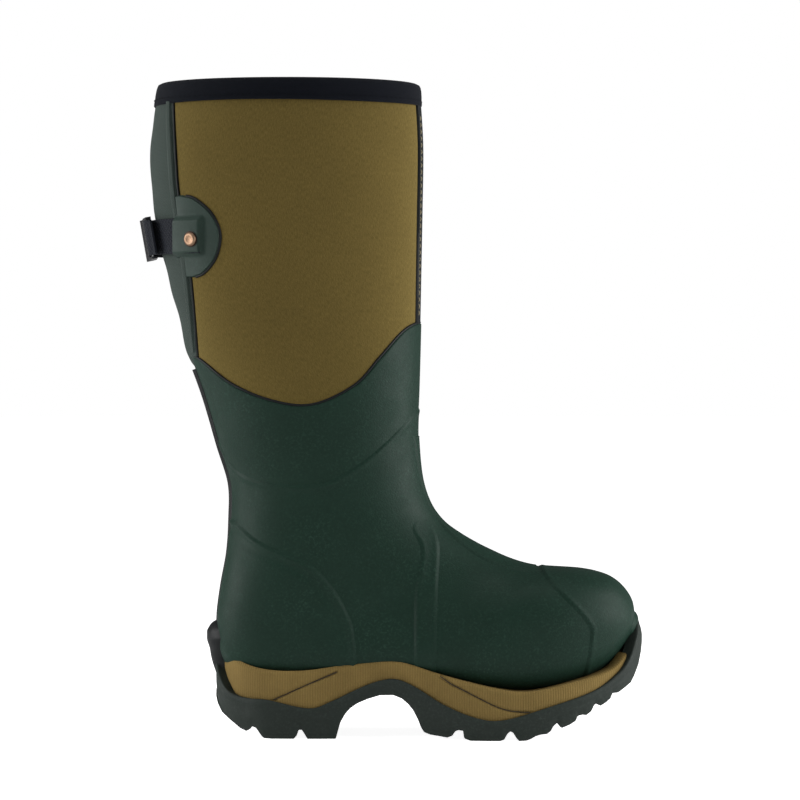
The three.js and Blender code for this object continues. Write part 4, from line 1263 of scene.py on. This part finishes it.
    def binding(self) -> None:
        """The tape folded over the collar, with a stitch row on its outer face."""
        turns = np.linspace(0, 2 * math.pi, 301)[:-1]
        drop = LINES.top - self.binding_drop
        crown = [(2.2, -2.4), (1.9, -0.2), (1.2, 1.4), (-0.6, 2.3), (-3.2, 2.5), (-5.6, 2.3), (-7.3, 1.4),
                 (-8.2, -0.2), (-8.5, -3)]
        outline = [(0.5, drop + 0.2), (1.3, drop), (1.9, drop + 0.5), (2.15, drop + 2.5), (2.0, drop + 4),
                   (2.2, drop + 7), *((out, LINES.top + z) for out, z in crown), (-8.4, drop + 4),
                   (-8.3, drop + 1), (-7.6, drop + 0.2), (-6.9, drop + 0.6), (-6.9, LINES.top - 1.4),
                   (0.5, LINES.top - 1.4)]
        section = (LINES.top - np.array([z for _, z in outline])) / self.first_span
        rows = []
        for (out, z), s in zip(outline, section):
            place = LAST.place(max(s, 0.0), turns)
            place[:, 2] = z + 0.35 * np.sin(turns * 3 + 1) * rise(np.array(LINES.top - z), 2, 12)
            rows.append(place + LAST.normal(max(s, 0.0), turns) * [1, 1, 0] * out)
        net = np.stack(rows, 1)
        n, k = net.shape[:2]
        faces = [[i * k + (j + 1) % k, (i + 1) % n * k + (j + 1) % k, (i + 1) % n * k + j, i * k + j]
                 for i in range(n) for j in range(k)]
        run = np.concatenate([[0], np.cumsum(np.linalg.norm(np.diff(net[:, 0], axis=0), axis=1))])
        girth = np.concatenate([[0], np.cumsum(np.linalg.norm(np.diff(net[0], axis=0), axis=1))])
        flat = np.stack(np.broadcast_arrays(run[:, None], girth[None, :]), -1).reshape(-1, 2) * MM
        Piece("collar_tape", Solid(net.reshape(-1, 3), faces, flat), self.palette.binding, Slot.BINDING,
              ("collar_binding",), sharp=60).build()
        line = LAST.place((self.binding_drop - 3.4) / self.first_span, turns)
        out = LAST.normal(0.2, turns)
        Piece("collar_stitches", stitches(line + out * 2.0, out, 4.0, 2.6, 0.22), self.palette.thread,
              Slot.BINDING).build()

    def lining(self) -> None:
        """The brushed lining of the whole boot."""
        g = SkinGrid(step=3.0, first=0.0, last=24.95)

        def top(places: Array, values: Array) -> Array:
            """The face against the neoprene."""
            return np.full(len(places), LAYERS.lining_out)

        solid = g.skin((Cut(LINES.top - 2 - g.z),), top, LAYERS.lining_in)
        Piece("brushed_lining", solid, self.palette.lining, Slot.LINING, ("thermal_lining",)).build()


# ---- Strap, tabs and buckle ----------------------------------------------------------------------
@dataclass
class CalfStrap:
    """The tabs, rivets, webbing and ladder-lock buckle behind the calf."""

    palette: Palette
    rivet_x: float = -134.0
    rivet_z: float = 338.0
    web_height: float = 24.0
    lean: float = 6.0
    tilt: float = 10.0
    section: float = 2.44
    stand: float = 5.9
    foot_y: float = -10.0

    def __post_init__(self) -> None:
        """Finds the buckle's hinge."""
        self.pivot = self.around(self.foot_y, self.stand)[0]

    def around(self, y: float, out: float) -> tuple[Array, Array]:
        """The place behind the calf at that Y, standing that far out, and the outward direction."""
        turns = math.copysign(1.0, y) * np.linspace(math.pi / 2, math.pi - 0.01, 900)
        line = LAST.place(self.section, turns)
        turn = turns[int(np.argmin(np.abs(line[:, 1] - y)))]
        normal = LAST.normal(self.section, turn)
        place = LAST.place(self.section, turn) + normal * out
        return place, normal

    def in_buckle(self, along: float, out: float) -> Array:
        """The place of a point along and out from the buckle's hinge, at its middle height."""
        turn = math.radians(90 + self.lean)
        c, s = math.cos(turn), math.sin(turn)
        return np.array([self.pivot[0] + c * along - s * out, self.pivot[1] + s * along + c * out, STRAP_Z])

    def ribbon(self, line: Array) -> Solid:
        """Webbing on edge along a line behind the leg."""
        path = smooth_line(line, 90)
        run = np.concatenate([[0], np.cumsum(np.linalg.norm(np.diff(path, axis=0), axis=1))])
        even = np.linspace(0, run[-1], max(int(run[-1] / 0.7), 8))
        path = np.stack([np.interp(even, run, path[:, k]) for k in range(3)], 1)
        back = np.clip((-path[:, 0] - 120) / 35, 0, 1)
        up = np.stack([-math.tan(math.radians(self.tilt)) * back, np.zeros(len(path)), np.ones(len(path))], 1)
        up /= np.linalg.norm(up, axis=1, keepdims=True)
        return sweep(path, rounded_bar(LAYERS.web, self.web_height, 0.6), up)

    def leg_line(self, x: float, y_end: float, side: Side, out: float) -> Array:
        """A line round the calf at the strap's height, from a side-view X to an end Y."""
        turns = side.value * np.linspace(math.pi / 2, math.pi, 600)
        line = LAST.place(self.section, turns)
        first = int(np.argmin(np.abs(line[:, 0] - x)))
        last = int(np.argmin(np.abs(line[:, 1] - y_end)))
        pick = turns[np.linspace(first, last, 14).astype(int)]
        places = LAST.place(self.section, pick) + LAST.normal(self.section, pick) * out
        places[:, 2] = STRAP_Z
        return places

    def build(self) -> None:
        """Builds every piece of the strap."""
        grid = SkinGrid(step=0.9, first=1.4, last=3.6)
        for side in Side:
            self.tab(grid, side)
            self.rivet(side)
        self.keeper()
        self.run()
        self.tail()
        self.buckle()

    def tab(self, grid: SkinGrid, side: Side) -> None:
        """One D tab with a raised cover over the webbing's end, and a black tube along its front edge that is
        partly the tab's black edge and partly painted shade beside it.
        """
        front = smooth_line([(-142, 367.5), (-133, 364.5), (-121.5, 354), (-116, 340), (-119, 325),
                             (-127, 315),
                             (-134, 312)], 40)
        plate = grid.within(np.vstack([front, [(-140, 312), (-144, 340), (-147, 367.5)]]))
        low, high = STRAP_Z - 14.5, STRAP_Z + 14.5
        cover = grid.within(np.array([(-170, low), (-128, low), (-125.5, low + 3), (-125.5, high - 3),
                                      (-128, high), (-170, high)]))
        both = np.maximum(plate, cover)
        cuts = (Cut(both, levels=(0.5, 1.1, 2.0)), Cut(cover, low=-math.inf,
                                                       levels=(0.8, 1.8, 2.8, 3.8, 5.0)),
                Cut(grid.x + 146.0), Cut(side.value * grid.y - 5))

        def top(places: Array, values: Array) -> Array:
            """A flat plate that swells over the webbing."""
            return 0.2 + 1.9 * rise(values[:, 0], 0, 1.0) + 3.0 * rise(values[:, 1], 0, 5.0)

        solid = grid.skin(cuts, top, 0.05)
        Piece(f"strap_tab_{side.label}", solid, self.palette.tab, Slot.GREEN,
              (f"d_tab_{side.label}",)).build()
        # A black tube along the tab's front edge: partly its black edge, partly painted shade along the
        # raised edge.
        line = front[2:-1]
        path, out = LAST.on(line[:, 0], line[:, 1], side, 0.5)
        edge = sweep(path, ring(0.95, 10), out)
        Piece(f"tab_edge_and_shade_{side.label}", edge, self.palette.black, Slot.GREEN).build()

    def rivet(self, side: Side) -> None:
        """One rivet with a dark burr under its head, and the washer inside the boot."""
        place, out = LAST.on(np.array([self.rivet_x]), np.array([self.rivet_z]), side, 0.0)
        origin, axis = place[0], out[0]
        top = LAYERS.cover + 0.15
        head = [(0.0, top + 1.25), (1.2, top + 1.3), (2.2, top + 1.5), (3.0, top + 1.75), (3.7, top + 1.6),
                (4.3, top + 1.1), (4.55, top + 0.5), (4.45, top), (1.6, top - 0.2), (1.6, -10.5),
                (0.0, -10.5)]
        Piece(f"rivet_head_{side.label}", lathe(head, origin, axis), self.palette.copper, Slot.COPPER,
              (f"rivet_{side.label}",)).build()
        burr = [(1.7, top - 0.2), (1.7, top + 0.3), (4.9, top + 0.35), (5.3, top + 0.1), (5.3, top - 0.25),
                (1.7, top - 0.2)]
        Piece(f"rivet_burr_{side.label}", lathe(burr, origin, axis), self.palette.ring, Slot.COPPER).build()
        back = [(1.9, -9.5), (1.9, -8.6), (5.1, -8.55), (5.5, -8.8), (5.4, -9.4), (1.9, -9.6), (1.9, -9.5)]
        Piece(f"washer_ring_{side.label}", lathe(back, origin, axis), self.palette.copper, Slot.COPPER,
              (f"rivet_washer_{side.label}",)).build()

    def keeper(self) -> None:
        """The webbing from the outer tab, with a sewn loop round the buckle's bar."""
        run = self.leg_line(-129, -22, Side.OUTER, 3.0)
        loop = [self.in_buckle(*p) for p in ((-6, -2.9), (0, -2.9), (2.05, -2.05), (2.9, 0), (2.05, 2.05),
                                             (0, 2.9),
                                             (-3.0, 2.0), (-6, -0.2), (-9, -1.3), (-15, -1.1))]
        Piece("keeper_web", self.ribbon(np.vstack([run, loop])), self.palette.webbing, Slot.WEBBING,
              ("keeper_webbing",)).build()

    def run(self) -> None:
        """The webbing from the inner tab into the buckle."""
        leg = self.leg_line(-129, 27, Side.INNER, 3.0)
        line = [*leg, *(self.in_buckle(*p) for p in ((25, -3), (20.5, -1.9)))]
        Piece("adjuster_web", self.ribbon(np.array(line)), self.palette.webbing, Slot.WEBBING,
              ("adjuster_strap",)).build()

    def tail(self) -> None:
        """The strap's end, over the grip bar and back over the run."""
        over = [self.in_buckle(*p) for p in ((11.4, -1), (11.8, 1.6), (15, 2.3), (18.8, 1.6), (21.5, 0.2),
                                             (27, -0.6), (32, -1.4))]
        lie = [self.around(y, out)[0] * [1, 1, 0] + [0, 0, STRAP_Z] for y,
               out in ((25, 5), (30, 7), (34.5, 7.6))]
        Piece("tail_web", self.ribbon(np.array(over + lie)), self.palette.webbing, Slot.WEBBING,
              ("strap_tail",),
              body="buckle_frame").build()

    def buckle(self) -> None:
        """The ladder-lock frame with rounded edges."""
        solid = from_node("buckle")
        Piece("ladder_buckle", solid, self.palette.plastic, Slot.PLASTIC, ("buckle",), body="buckle_frame",
              bevel=0.45).build()


def from_node(name: str, angle: float = 2.0) -> Solid:
    """A copy of a CAD node's surface with its flat faces whole."""
    mesh = bmesh.new()
    mesh.from_mesh(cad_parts[name].data)
    bmesh.ops.remove_doubles(mesh, verts=mesh.verts, dist=0.00002)
    bmesh.ops.dissolve_limit(mesh, angle_limit=math.radians(angle), verts=mesh.verts, edges=mesh.edges)
    mesh.verts.index_update()
    corners = np.array([v.co[:] for v in mesh.verts]) / MM
    faces = [[v.index for v in face.verts] for face in mesh.faces]
    mesh.free()
    return Solid(corners, faces)


# ---- Rubber foot ---------------------------------------------------------------------------------
@dataclass
class RubberFoot:
    """The moulded rubber foot with its overlays, and the low cuff above it."""

    palette: Palette
    stay_half: float = 7.5
    grid: SkinGrid = field(init=False)

    def __post_init__(self) -> None:
        """Lays the net and finds the overlays' fields."""
        self.grid = SkinGrid(step=1.5, first=3.6, last=25.0)
        g = self.grid
        self.edge = g.under(LINES.foot)
        self.above_sole = g.z - height_along(LINES.sole_top, g.x) + 6.0

    def build(self) -> None:
        """Builds every piece of the foot."""
        self.cuff()
        self.foot()
        self.toe_cap()
        self.guard()
        self.stay()
        for side in Side:
            self.counter(side)
            self.strap(side)
        self.bootie()

    def overlay(self, name: str, node: str, cuts: Sequence[Cut], rib: float = 0.3, second: float = 0.0,
                fade: bool = False) -> None:
        """A vulcanised overlay, soft at its edge.

        Args:
            name: The piece's name.
            node: The node that it stands for.
            cuts: Its limits, of which the first is its shown edge.
            rib: The height of the bead along its edge.
            second: How far in a second step runs, or 0 for none.
            fade: Whether it sinks into the rubber towards its last limit.
        """
        def top(places: Array, values: Array) -> Array:
            """A step up with a bead along it."""
            f = values[:, 0]
            height = 1.95 + 0.85 * rise(f, 0, 3.6) + rib * bead(f, 3.8, 1.7)
            if second:
                height += 0.6 * rise(f, second - 2.2, second + 2.2)
            return 1.95 + (height - 1.95) * (rise(values[:, -1], 0, 24) if fade else 1)

        levels = (0.9, 1.8, 2.7, 3.6, 4.6, 6.0)
        if second:
            levels += (second - 2.2, second - 1, second + 1, second + 2.2)
        first = Cut(cuts[0].values, cuts[0].low, cuts[0].high, levels)
        solid = self.grid.skin((first, *cuts[1:]), top, 1.7)
        Piece(name, solid, self.palette.green, Slot.GREEN, (node,), sharp=70).build()

    def cuff(self) -> None:
        """The low rubber cuff with a black line along its wave, partly a black edge and partly painted shade
        in the joint.
        """
        g = self.grid
        wave = g.under(LINES.cuff)
        cuts = (Cut(wave, levels=(0.5, 1.1, 2.0)), Cut(12.0 - self.edge))

        def top(places: Array, values: Array) -> Array:
            """A thin skin, rounded at its edge."""
            return 0.2 + 1.5 * rise(values[:, 0], 0, 1.3)

        Piece("low_cuff", g.skin(cuts, top, 0.05), self.palette.green, Slot.GREEN, ("rubber_cuff",),
              sharp=70).build()
        # A black tube along the wave: partly a black edge, partly painted shade in the joint between neoprene
        # and rubber.
        line, out = g.trace(wave)
        pipe = sweep(line + out * 0.55, ring(0.85, 10), out, closed=True)
        Piece("wave_edge_and_shade_line", pipe, self.palette.black, Slot.GREEN).build()

    def foot(self) -> None:
        """The rubber foot, closed under the sole."""
        def top(places: Array, values: Array) -> Array:
            """A skin that steps up softly from the cuff."""
            f = values[:, 0]
            return 1.5 + 0.6 * rise(f, 0, 2.2) + 0.4 * bead(f, 3.0, 1.7)

        solid = self.grid.skin((Cut(self.edge, levels=(0.7, 1.4, 2.1, 2.8, 3.6, 4.6)),), top, 0.3)
        Piece("foot_shell", solid, self.palette.green, Slot.GREEN, ("rubber_foot",), sharp=70).build()

    def counter(self, side: Side) -> None:
        """One half of the heel counter, with two lines along its edge."""
        g = self.grid
        line = smooth_line(LINES.counter, 50)
        outline = np.vstack([[(BEHIND, line[0, 1])], line, [(line[-1, 0], -40), (BEHIND, -40)]])
        depth = g.true(depth_in(g.x, g.z, outline, np.vstack([[(BEHIND, line[0, 1])], line,
                                                              [(line[-1, 0], -40)]])))
        cuts = (Cut(depth), Cut(side.value * g.y - 4.0), Cut(self.above_sole))
        self.overlay(f"counter_{side.label}", f"heel_counter_{side.label}", cuts, rib=0.6, second=11.0)

    def toe_cap(self) -> None:
        """The toe cap."""
        g = self.grid
        line = smooth_line(LINES.cap, 40)
        outline = np.vstack([line, [(AHEAD, line[-1, 1]), (AHEAD, line[0, 1])]])
        depth = g.true(depth_in(g.x, g.z, outline, line))
        self.overlay("toe_cap_shell", "toe_cap", (Cut(depth), Cut(self.above_sole)), rib=0.3)

    def guard(self) -> None:
        """The guard over the instep."""
        g = self.grid
        line = smooth_line(LINES.instep, 40)
        outline = np.vstack([line, [(AHEAD, line[-1, 1]), (AHEAD, line[0, 1])]])
        depth = g.true(depth_in(g.x, g.z, outline, line))
        cap = smooth_line(LINES.cap, 40)
        front = depth_in(g.x, g.z, np.vstack([cap, [(AHEAD, cap[-1, 1]), (AHEAD, cap[0, 1])]]), cap)
        cuts = (Cut(depth), Cut(-front - 1.0), Cut(self.edge - 3.5))
        self.overlay("instep_shield", "instep_guard", cuts, rib=0.3, fade=True)

    def strap(self, side: Side) -> None:
        """One instep strap, from the sole up to the ankle."""
        g = self.grid
        outline = smooth_line([(13.5, 30), (13.5, 96), (16, 113), (17, 128), (11, 142), (18, 152), (31, 133),
                               (31.5, 100), (30, 30)], 60)
        depth = g.within(outline)
        cuts = (Cut(depth), Cut(side.value * g.y - 3.0), Cut(self.above_sole), Cut(152.0 - g.z))
        self.overlay(f"side_strap_{side.label}", f"instep_strap_{side.label}", cuts, rib=0.25, fade=True)

    def stay(self) -> None:
        """The black stay down the back seam."""
        g = self.grid
        across = g.true(self.stay_half - np.abs(g.y))
        cuts = (Cut(across, levels=(0.6, 1.4, 2.2)), Cut(60.0 - (g.x + 100)), Cut(g.z - 76.0),
                Cut(251.0 - g.z),
                Cut(-40.0 - g.x))

        def top(places: Array, values: Array) -> Array:
            """A rounded band over the foot and the cuff."""
            return 2.0 + 2.1 * rise(values[:, 0], 0, 1.9)

        Piece("heel_stay", g.skin(cuts, top, 0.4), self.palette.black, Slot.BLACK, ("back_stay",),
              sharp=70).build()

    def bootie(self) -> None:
        """The neoprene foot inside the rubber."""
        g = SkinGrid(step=3.2, first=5.5, last=24.95)

        def top(places: Array, values: Array) -> Array:
            """The face against the rubber."""
            return np.zeros(len(places))

        solid = g.skin((Cut(191.7 - g.z),), top, -5.0)
        Piece("foot_bootie", solid, self.palette.bootie, Slot.BOOTIE, ("bootie",)).build()


# ---- Sole ----------------------------------------------------------------------------------------
@dataclass
class Sole:
    """The foam midsole, lugged outsole, kick spur, and what lies under the foot."""

    palette: Palette
    pieces: int = 560
    rows: int = 34
    groove: float = 0.9
    grooves: tuple[tuple[Pair, ...], ...] = (
        ((-81, 26), (-59, 36), (-38, 45)),
        ((32, 43), (39, 38), (45, 35), (55, 30), (65, 25), (72, 22), (80, 20), (92, 19)))
    lug_rows: int = 12
    channel: float = 4.5

    def plan(self, pieces: int) -> tuple[Array, Array]:
        """The plan line of the foam as that many points, and its outward directions."""
        line = smooth_line(LINES.plan, pieces, closed=True)
        ends = np.vstack([line, line[:1]])
        run = np.concatenate([[0], np.cumsum(np.linalg.norm(np.diff(ends, axis=0), axis=1))])
        even = np.linspace(0, run[-1], pieces + 1)[:-1]
        line = np.stack([np.interp(even, run, ends[:, k]) for k in range(2)], 1)
        along = np.roll(line, -1, 0) - np.roll(line, 1, 0)
        out = np.stack([along[:, 1], -along[:, 0]], 1)
        return line, out / np.linalg.norm(out, axis=1, keepdims=True)

    def build(self) -> None:
        """Builds every piece of the sole."""
        self.midsole()
        self.outsole()
        self.spur()
        self.footbed()
        for node, material, slot in (("insole_board", self.palette.board, Slot.BOARD),
                                     ("shank", self.palette.steel, Slot.STEEL)):
            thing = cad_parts[node]
            thing.data.materials.clear()
            thing.data.materials.append(material)
            log.info("%s: carried over", node)

    def midsole(self) -> None:
        """The ribbed foam wall with its two grooves."""
        line, out = self.plan(self.pieces)
        low = height_along(LINES.sole_bottom, line[:, 0]) - 0.4
        high = height_along(LINES.sole_top, line[:, 0])
        t = np.linspace(0, 1, self.rows)
        z = low[:, None] + (high - low)[:, None] * t
        bulge = 1.1 * np.sin(math.pi * np.clip(t, 0, 1)) ** 0.7 - 0.9 * rise(t, 0.9, 1.0)
        x = np.repeat(line[:, :1], self.rows, 1)
        deep = np.zeros_like(z)
        for points in self.grooves:
            deep = np.maximum(deep, 1 - rise(side_distance(x, z, smooth_line(points, 30)), 0.4, 1.3))
        reach = bulge[None, :] - self.groove * deep
        wall = np.stack([line[:, None, 0] + out[:, None, 0] * reach,
                         line[:, None, 1] + out[:, None, 1] * reach, z], -1)
        inner = np.stack([line[:, 0] - out[:, 0] * 7, line[:, 1] - out[:, 1] * 7, high - 0.4], -1)
        under = np.stack([line[:, 0] - out[:, 0] * 7, line[:, 1] - out[:, 1] * 7, low], -1)
        net = np.concatenate([under[:, None], wall, inner[:, None]], 1)
        n, k = net.shape[:2]
        faces = [[i * k + j, (i + 1) % n * k + j, (i + 1) % n * k + j + 1, i * k + j + 1]
                 for i in range(n) for j in range(k - 1)]
        half = n // 2
        for i in range(half):
            a, b, c, d = i, i + 1, (n - i - 1) % n, (n - i) % n
            faces.append([a * k + k - 1, b * k + k - 1, c * k + k - 1, d * k + k - 1])
            faces.append([d * k, c * k, b * k, a * k])
        run = np.concatenate([[0], np.cumsum(np.linalg.norm(np.diff(line, axis=0), axis=1))])
        flat = np.stack(np.broadcast_arrays(run[:, None], np.arange(k)[None, :] * 0.9), -1).reshape(-1,
                                                                                                    2) * MM
        faces = [f for f in faces if len(set(f)) > 2]
        Piece("foam_midsole", Solid(net.reshape(-1, 3), faces, flat), self.palette.foam, Slot.FOAM,
              ("midsole",)).build()
        self.groove_shade_lines(line, out)

    def groove_shade_lines(self, line: Array, out: Array) -> None:
        """Thin dark cords along the bottoms of the foam's grooves, on both sides: painted shade in the
        grooves.
        """
        shade_cords = []
        half = len(line) // 2
        for part, side in ((slice(0, half), Side.OUTER), (slice(half, None), Side.INNER)):
            edge, way = line[part], out[part]
            order = np.argsort(edge[:, 0])
            for points in self.grooves:
                run = smooth_line(points, 60)
                at = [np.interp(run[:, 0], edge[order, 0], values[order]) for values in (*edge.T[1:], *way.T)]
                path = np.stack([run[:, 0] + at[1] * 0.45, at[0] + at[2] * 0.45, run[:, 1]], 1)
                ways = np.stack([at[1], at[2], np.zeros(len(run))], 1)
                shade_cords.append(sweep(path, ring(0.32, 8), ways))
        # The cords paint the shade in the bottoms of the grooves.
        Piece("groove_shade_cords", joined(shade_cords), self.palette.groove, Slot.FOAM).build()

    def outsole(self) -> None:
        """The lugged outsole, which wraps up over the heel and the toe."""
        line, out = self.plan(1000)
        n = len(line)
        heel, toe = rise(-line[:, 0], 98, 115), rise(line[:, 0], 138, 165)
        reach = 2.3 + 4.0 * heel + 2.7 * toe
        edge = line + out * reach[:, None]
        profile = np.array(LINES.tread)
        low = np.interp(edge[:, 0], profile[:, 0], profile[:, 1])
        high = np.maximum(height_along(LINES.collar, line[:, 0]), low + 3.0)
        t = np.linspace(0, 1, self.lug_rows)[None, :]
        z = low[:, None] + (high - low)[:, None] * t
        lean = -0.9 * rise(1 - t, 0.55, 1.0) * (1 - toe[:, None]) - 0.022 * np.clip(z - 66, 0, 20) ** 2
        lean = lean + 0.55 * bead(z - high[:, None], -2.2, 1.5)
        wall = [np.stack([edge[:, 0] + out[:, 0] * lean[:, k], edge[:, 1] + out[:, 1] * lean[:, k], z[:, k]],
                         1)
                for k in range(self.lug_rows)]
        brim = [np.stack([*(edge + out * (lean[:, -1] + d)[:, None]).T, high + up], 1)
                for d, up in ((-0.35, 0.45), (-1.0, 0.65), (-1.8, 0.45))]
        inner = np.stack([*(line - out * 3.0).T, high - 0.5], 1)
        half = n // 2
        shares = np.array([0.012, 0.05, 0.14, 0.24, 0.3, 0.42, 0.455, 0.5])
        mate = (n - np.arange(n)) % n
        bottom = []
        for share in shares[::-1]:
            flat = edge + (edge[mate] - edge) * share
            under = np.interp(flat[:, 0], profile[:, 0], profile[:, 1])
            groove = self.channel * rise(share, 0.42, 0.455) + 2.0 * rise(share, 0.2,
                                                                          0.24) * rise(0.34 - share, 0, 0.04)
            room = np.clip(high - 2.5 - under, 0, None)
            up = np.minimum(groove, room)
            bottom.append(np.stack([flat[:, 0], flat[:, 1], under + up], 1))
        net = np.stack([*bottom, *wall, *brim, inner], 1)
        n, k = net.shape[:2]
        faces = [[i * k + j, (i + 1) % n * k + j, (i + 1) % n * k + j + 1, i * k + j + 1]
                 for i in range(n) for j in range(k - 1)]
        for i in range(half):
            a, b, c, d = i, i + 1, (n - i - 1) % n, (n - i) % n
            faces.append([f * k + k - 1 for f in (a, b, c, d)])
        run = np.concatenate([[0], np.cumsum(np.linalg.norm(np.diff(line, axis=0), axis=1))])
        pattern = np.stack(np.broadcast_arrays(run[:, None], np.arange(k)[None, :] * 1.5), -1).reshape(-1,
                                                                                                       2) * MM
        faces = [f for f in faces if len(set(f)) > 2]
        Piece("lugged_outsole", Solid(net.reshape(-1, 3), faces, pattern), self.palette.outsole, Slot.OUTSOLE,
              ("outsole",), sharp=42).build()

    def spur(self) -> None:
        """The ledge behind the heel for pushing the boot off."""
        line, out = self.plan(400)
        pick = np.nonzero(line[:, 0] < -100)[0]
        pick = pick[np.argsort(np.where(pick > 200, pick - 400, pick))]
        line, out = line[pick], out[pick]
        shape = np.array([(39.5, 4.0), (41.5, 6.5), (45.6, 7.9), (49.8, 9.2), (54, 10.1), (58, 10.7),
                          (60, 11.3),
                          (62.2, 12.1), (64.5, 12.7), (70.4, 12.7), (72.5, 11.6), (74.6, 10.3), (76.6, 8.2),
                          (78, 5.2), (78.4, 3.0)])
        z = np.linspace(39.5, 78.4, 38)
        far = np.interp(z, shape[:, 0], shape[:, 1])
        width = np.interp(z, [40, 50, 58, 66, 72, 78], [11, 14, 19, 24, 21, 14])
        weight = np.clip(1 - (np.abs(line[:, 1:2]) / width[None, :]) ** 2.4, 0, 1) ** 0.8
        reach = -4.0 + (far[None, :] + 4.0) * weight
        outer = np.stack([line[:, :1] + out[:, :1] * reach, line[:, 1:] + out[:, 1:] * reach,
                          np.broadcast_to(z, reach.shape)], -1)
        inner = np.stack([*(line - out * 4.0).T, np.full(len(line), z[0])], 1)
        roof = np.stack([*(line - out * 4.0).T, np.full(len(line), z[-1])], 1)
        net = np.concatenate([inner[:, None], outer, roof[:, None]], 1)
        n, k = net.shape[:2]
        faces = [[i * k + j, (i + 1) * k + j, (i + 1) * k + (j + 1) % k, i * k + (j + 1) % k]
                 for i in range(n - 1) for j in range(k)]
        faces += [[j for j in range(k)], [(n - 1) * k + j for j in reversed(range(k))]]
        Piece("heel_ledge", Solid(net.reshape(-1, 3), faces), self.palette.black, Slot.BLACK, ("kick_spur",),
              sharp=50).build()

    def footbed(self) -> None:
        """The cupped footbed, covered in cloth."""
        g = SkinGrid(step=2.4, first=9.0, last=24.9)
        rows = np.array([s.back for s in SECTIONS[10:]])
        floor = np.interp(g.x, rows[:, 0], rows[:, 1])
        depth = g.true(floor + 9.5 - g.z)
        cuts = (Cut(depth, levels=(1.0, 2.0, 3.5)),)

        def top(places: Array, values: Array) -> Array:
            """The face on the insole board."""
            return -9.6 - 0.8 * (1 - rise(values[:, 0], 0, 2.0))

        solid = g.skin(cuts, top, -14.2)
        thing = Piece("cupped_footbed", solid, self.palette.footbed, Slot.FOOTBED, ("footbed",)).build()


# ---- Studio --------------------------------------------------------------------------------------
@dataclass
class Studio:
    """The floor, the soft lights and the camera."""

    palette: Palette
    centre: Vector = field(default_factory=lambda: Vector((0.0048, 0.0, 0.2289)))
    distance: float = 2.2
    lens: float = 143.7
    fill: float = 0.13

    def build(self) -> None:
        """Builds the studio."""
        self.floor()
        self.world()
        self.softbox("left_softbox", (-1.4, -0.2, 0.5), 1.3, 25.0)
        self.softbox("right_softbox", (1.4, -0.2, 0.5), 1.3, 32.0)
        self.softbox("top_softbox", (0.0, -0.4, 1.9), 1.2, 8.0)
        data = bpy.data.cameras.new("camera")
        data.lens = self.lens
        data.sensor_width = 36.0
        camera = bpy.data.objects.new("camera", data)
        camera.location = self.centre - Vector((0, self.distance, 0))
        camera.rotation_euler = (math.pi / 2, 0, 0)
        bpy.context.collection.objects.link(camera)
        bpy.context.scene.camera = camera
        bpy.context.scene.view_settings.view_transform = "Standard"

    def floor(self) -> None:
        """A wide round floor."""
        mesh = bmesh.new()
        bmesh.ops.create_circle(mesh, cap_ends=True, segments=96, radius=40.0)
        data = bpy.data.meshes.new("floor")
        mesh.to_mesh(data)
        mesh.free()
        data.materials.append(self.palette.floor)
        thing = bpy.data.objects.new("floor", data)
        bpy.context.collection.objects.link(thing)

    def world(self) -> None:
        """An even white surround."""
        world = bpy.data.worlds.new("surround")
        world.use_nodes = True
        graph = Graph(world.node_tree)
        back = world.node_tree.nodes["Background"]
        graph.feed(back.inputs["Color"], (1.0, 1.0, 1.0, 1.0))
        seen = graph.add("ShaderNodeLightPath").outputs["Is Camera Ray"]
        graph.feed(back.inputs["Strength"], graph.span(seen, 0.0, 1.0, self.fill, 1.0))
        bpy.context.scene.world = world

    def softbox(self, name: str, place: tuple[float, float, float], size: float, power: float) -> None:
        """A square area light that faces the boot."""
        data = bpy.data.lights.new(name, "AREA")
        data.shape = "SQUARE"
        data.size = size
        data.energy = power
        thing = bpy.data.objects.new(name, data)
        thing.location = place
        thing.rotation_euler = (self.centre - Vector(place)).to_track_quat("-Z", "Y").to_euler()
        bpy.context.collection.objects.link(thing)


def main() -> None:
    """Builds the boot and its studio."""
    logging.basicConfig(level=logging.INFO, format="%(name)s %(message)s")
    palette = Palette()
    for part in (Shaft(palette), CalfStrap(palette), RubberFoot(palette), Sole(palette), Studio(palette)):
        part.build()
        log.info("%s done", type(part).__name__)


if __name__ == "__main__":
    main()
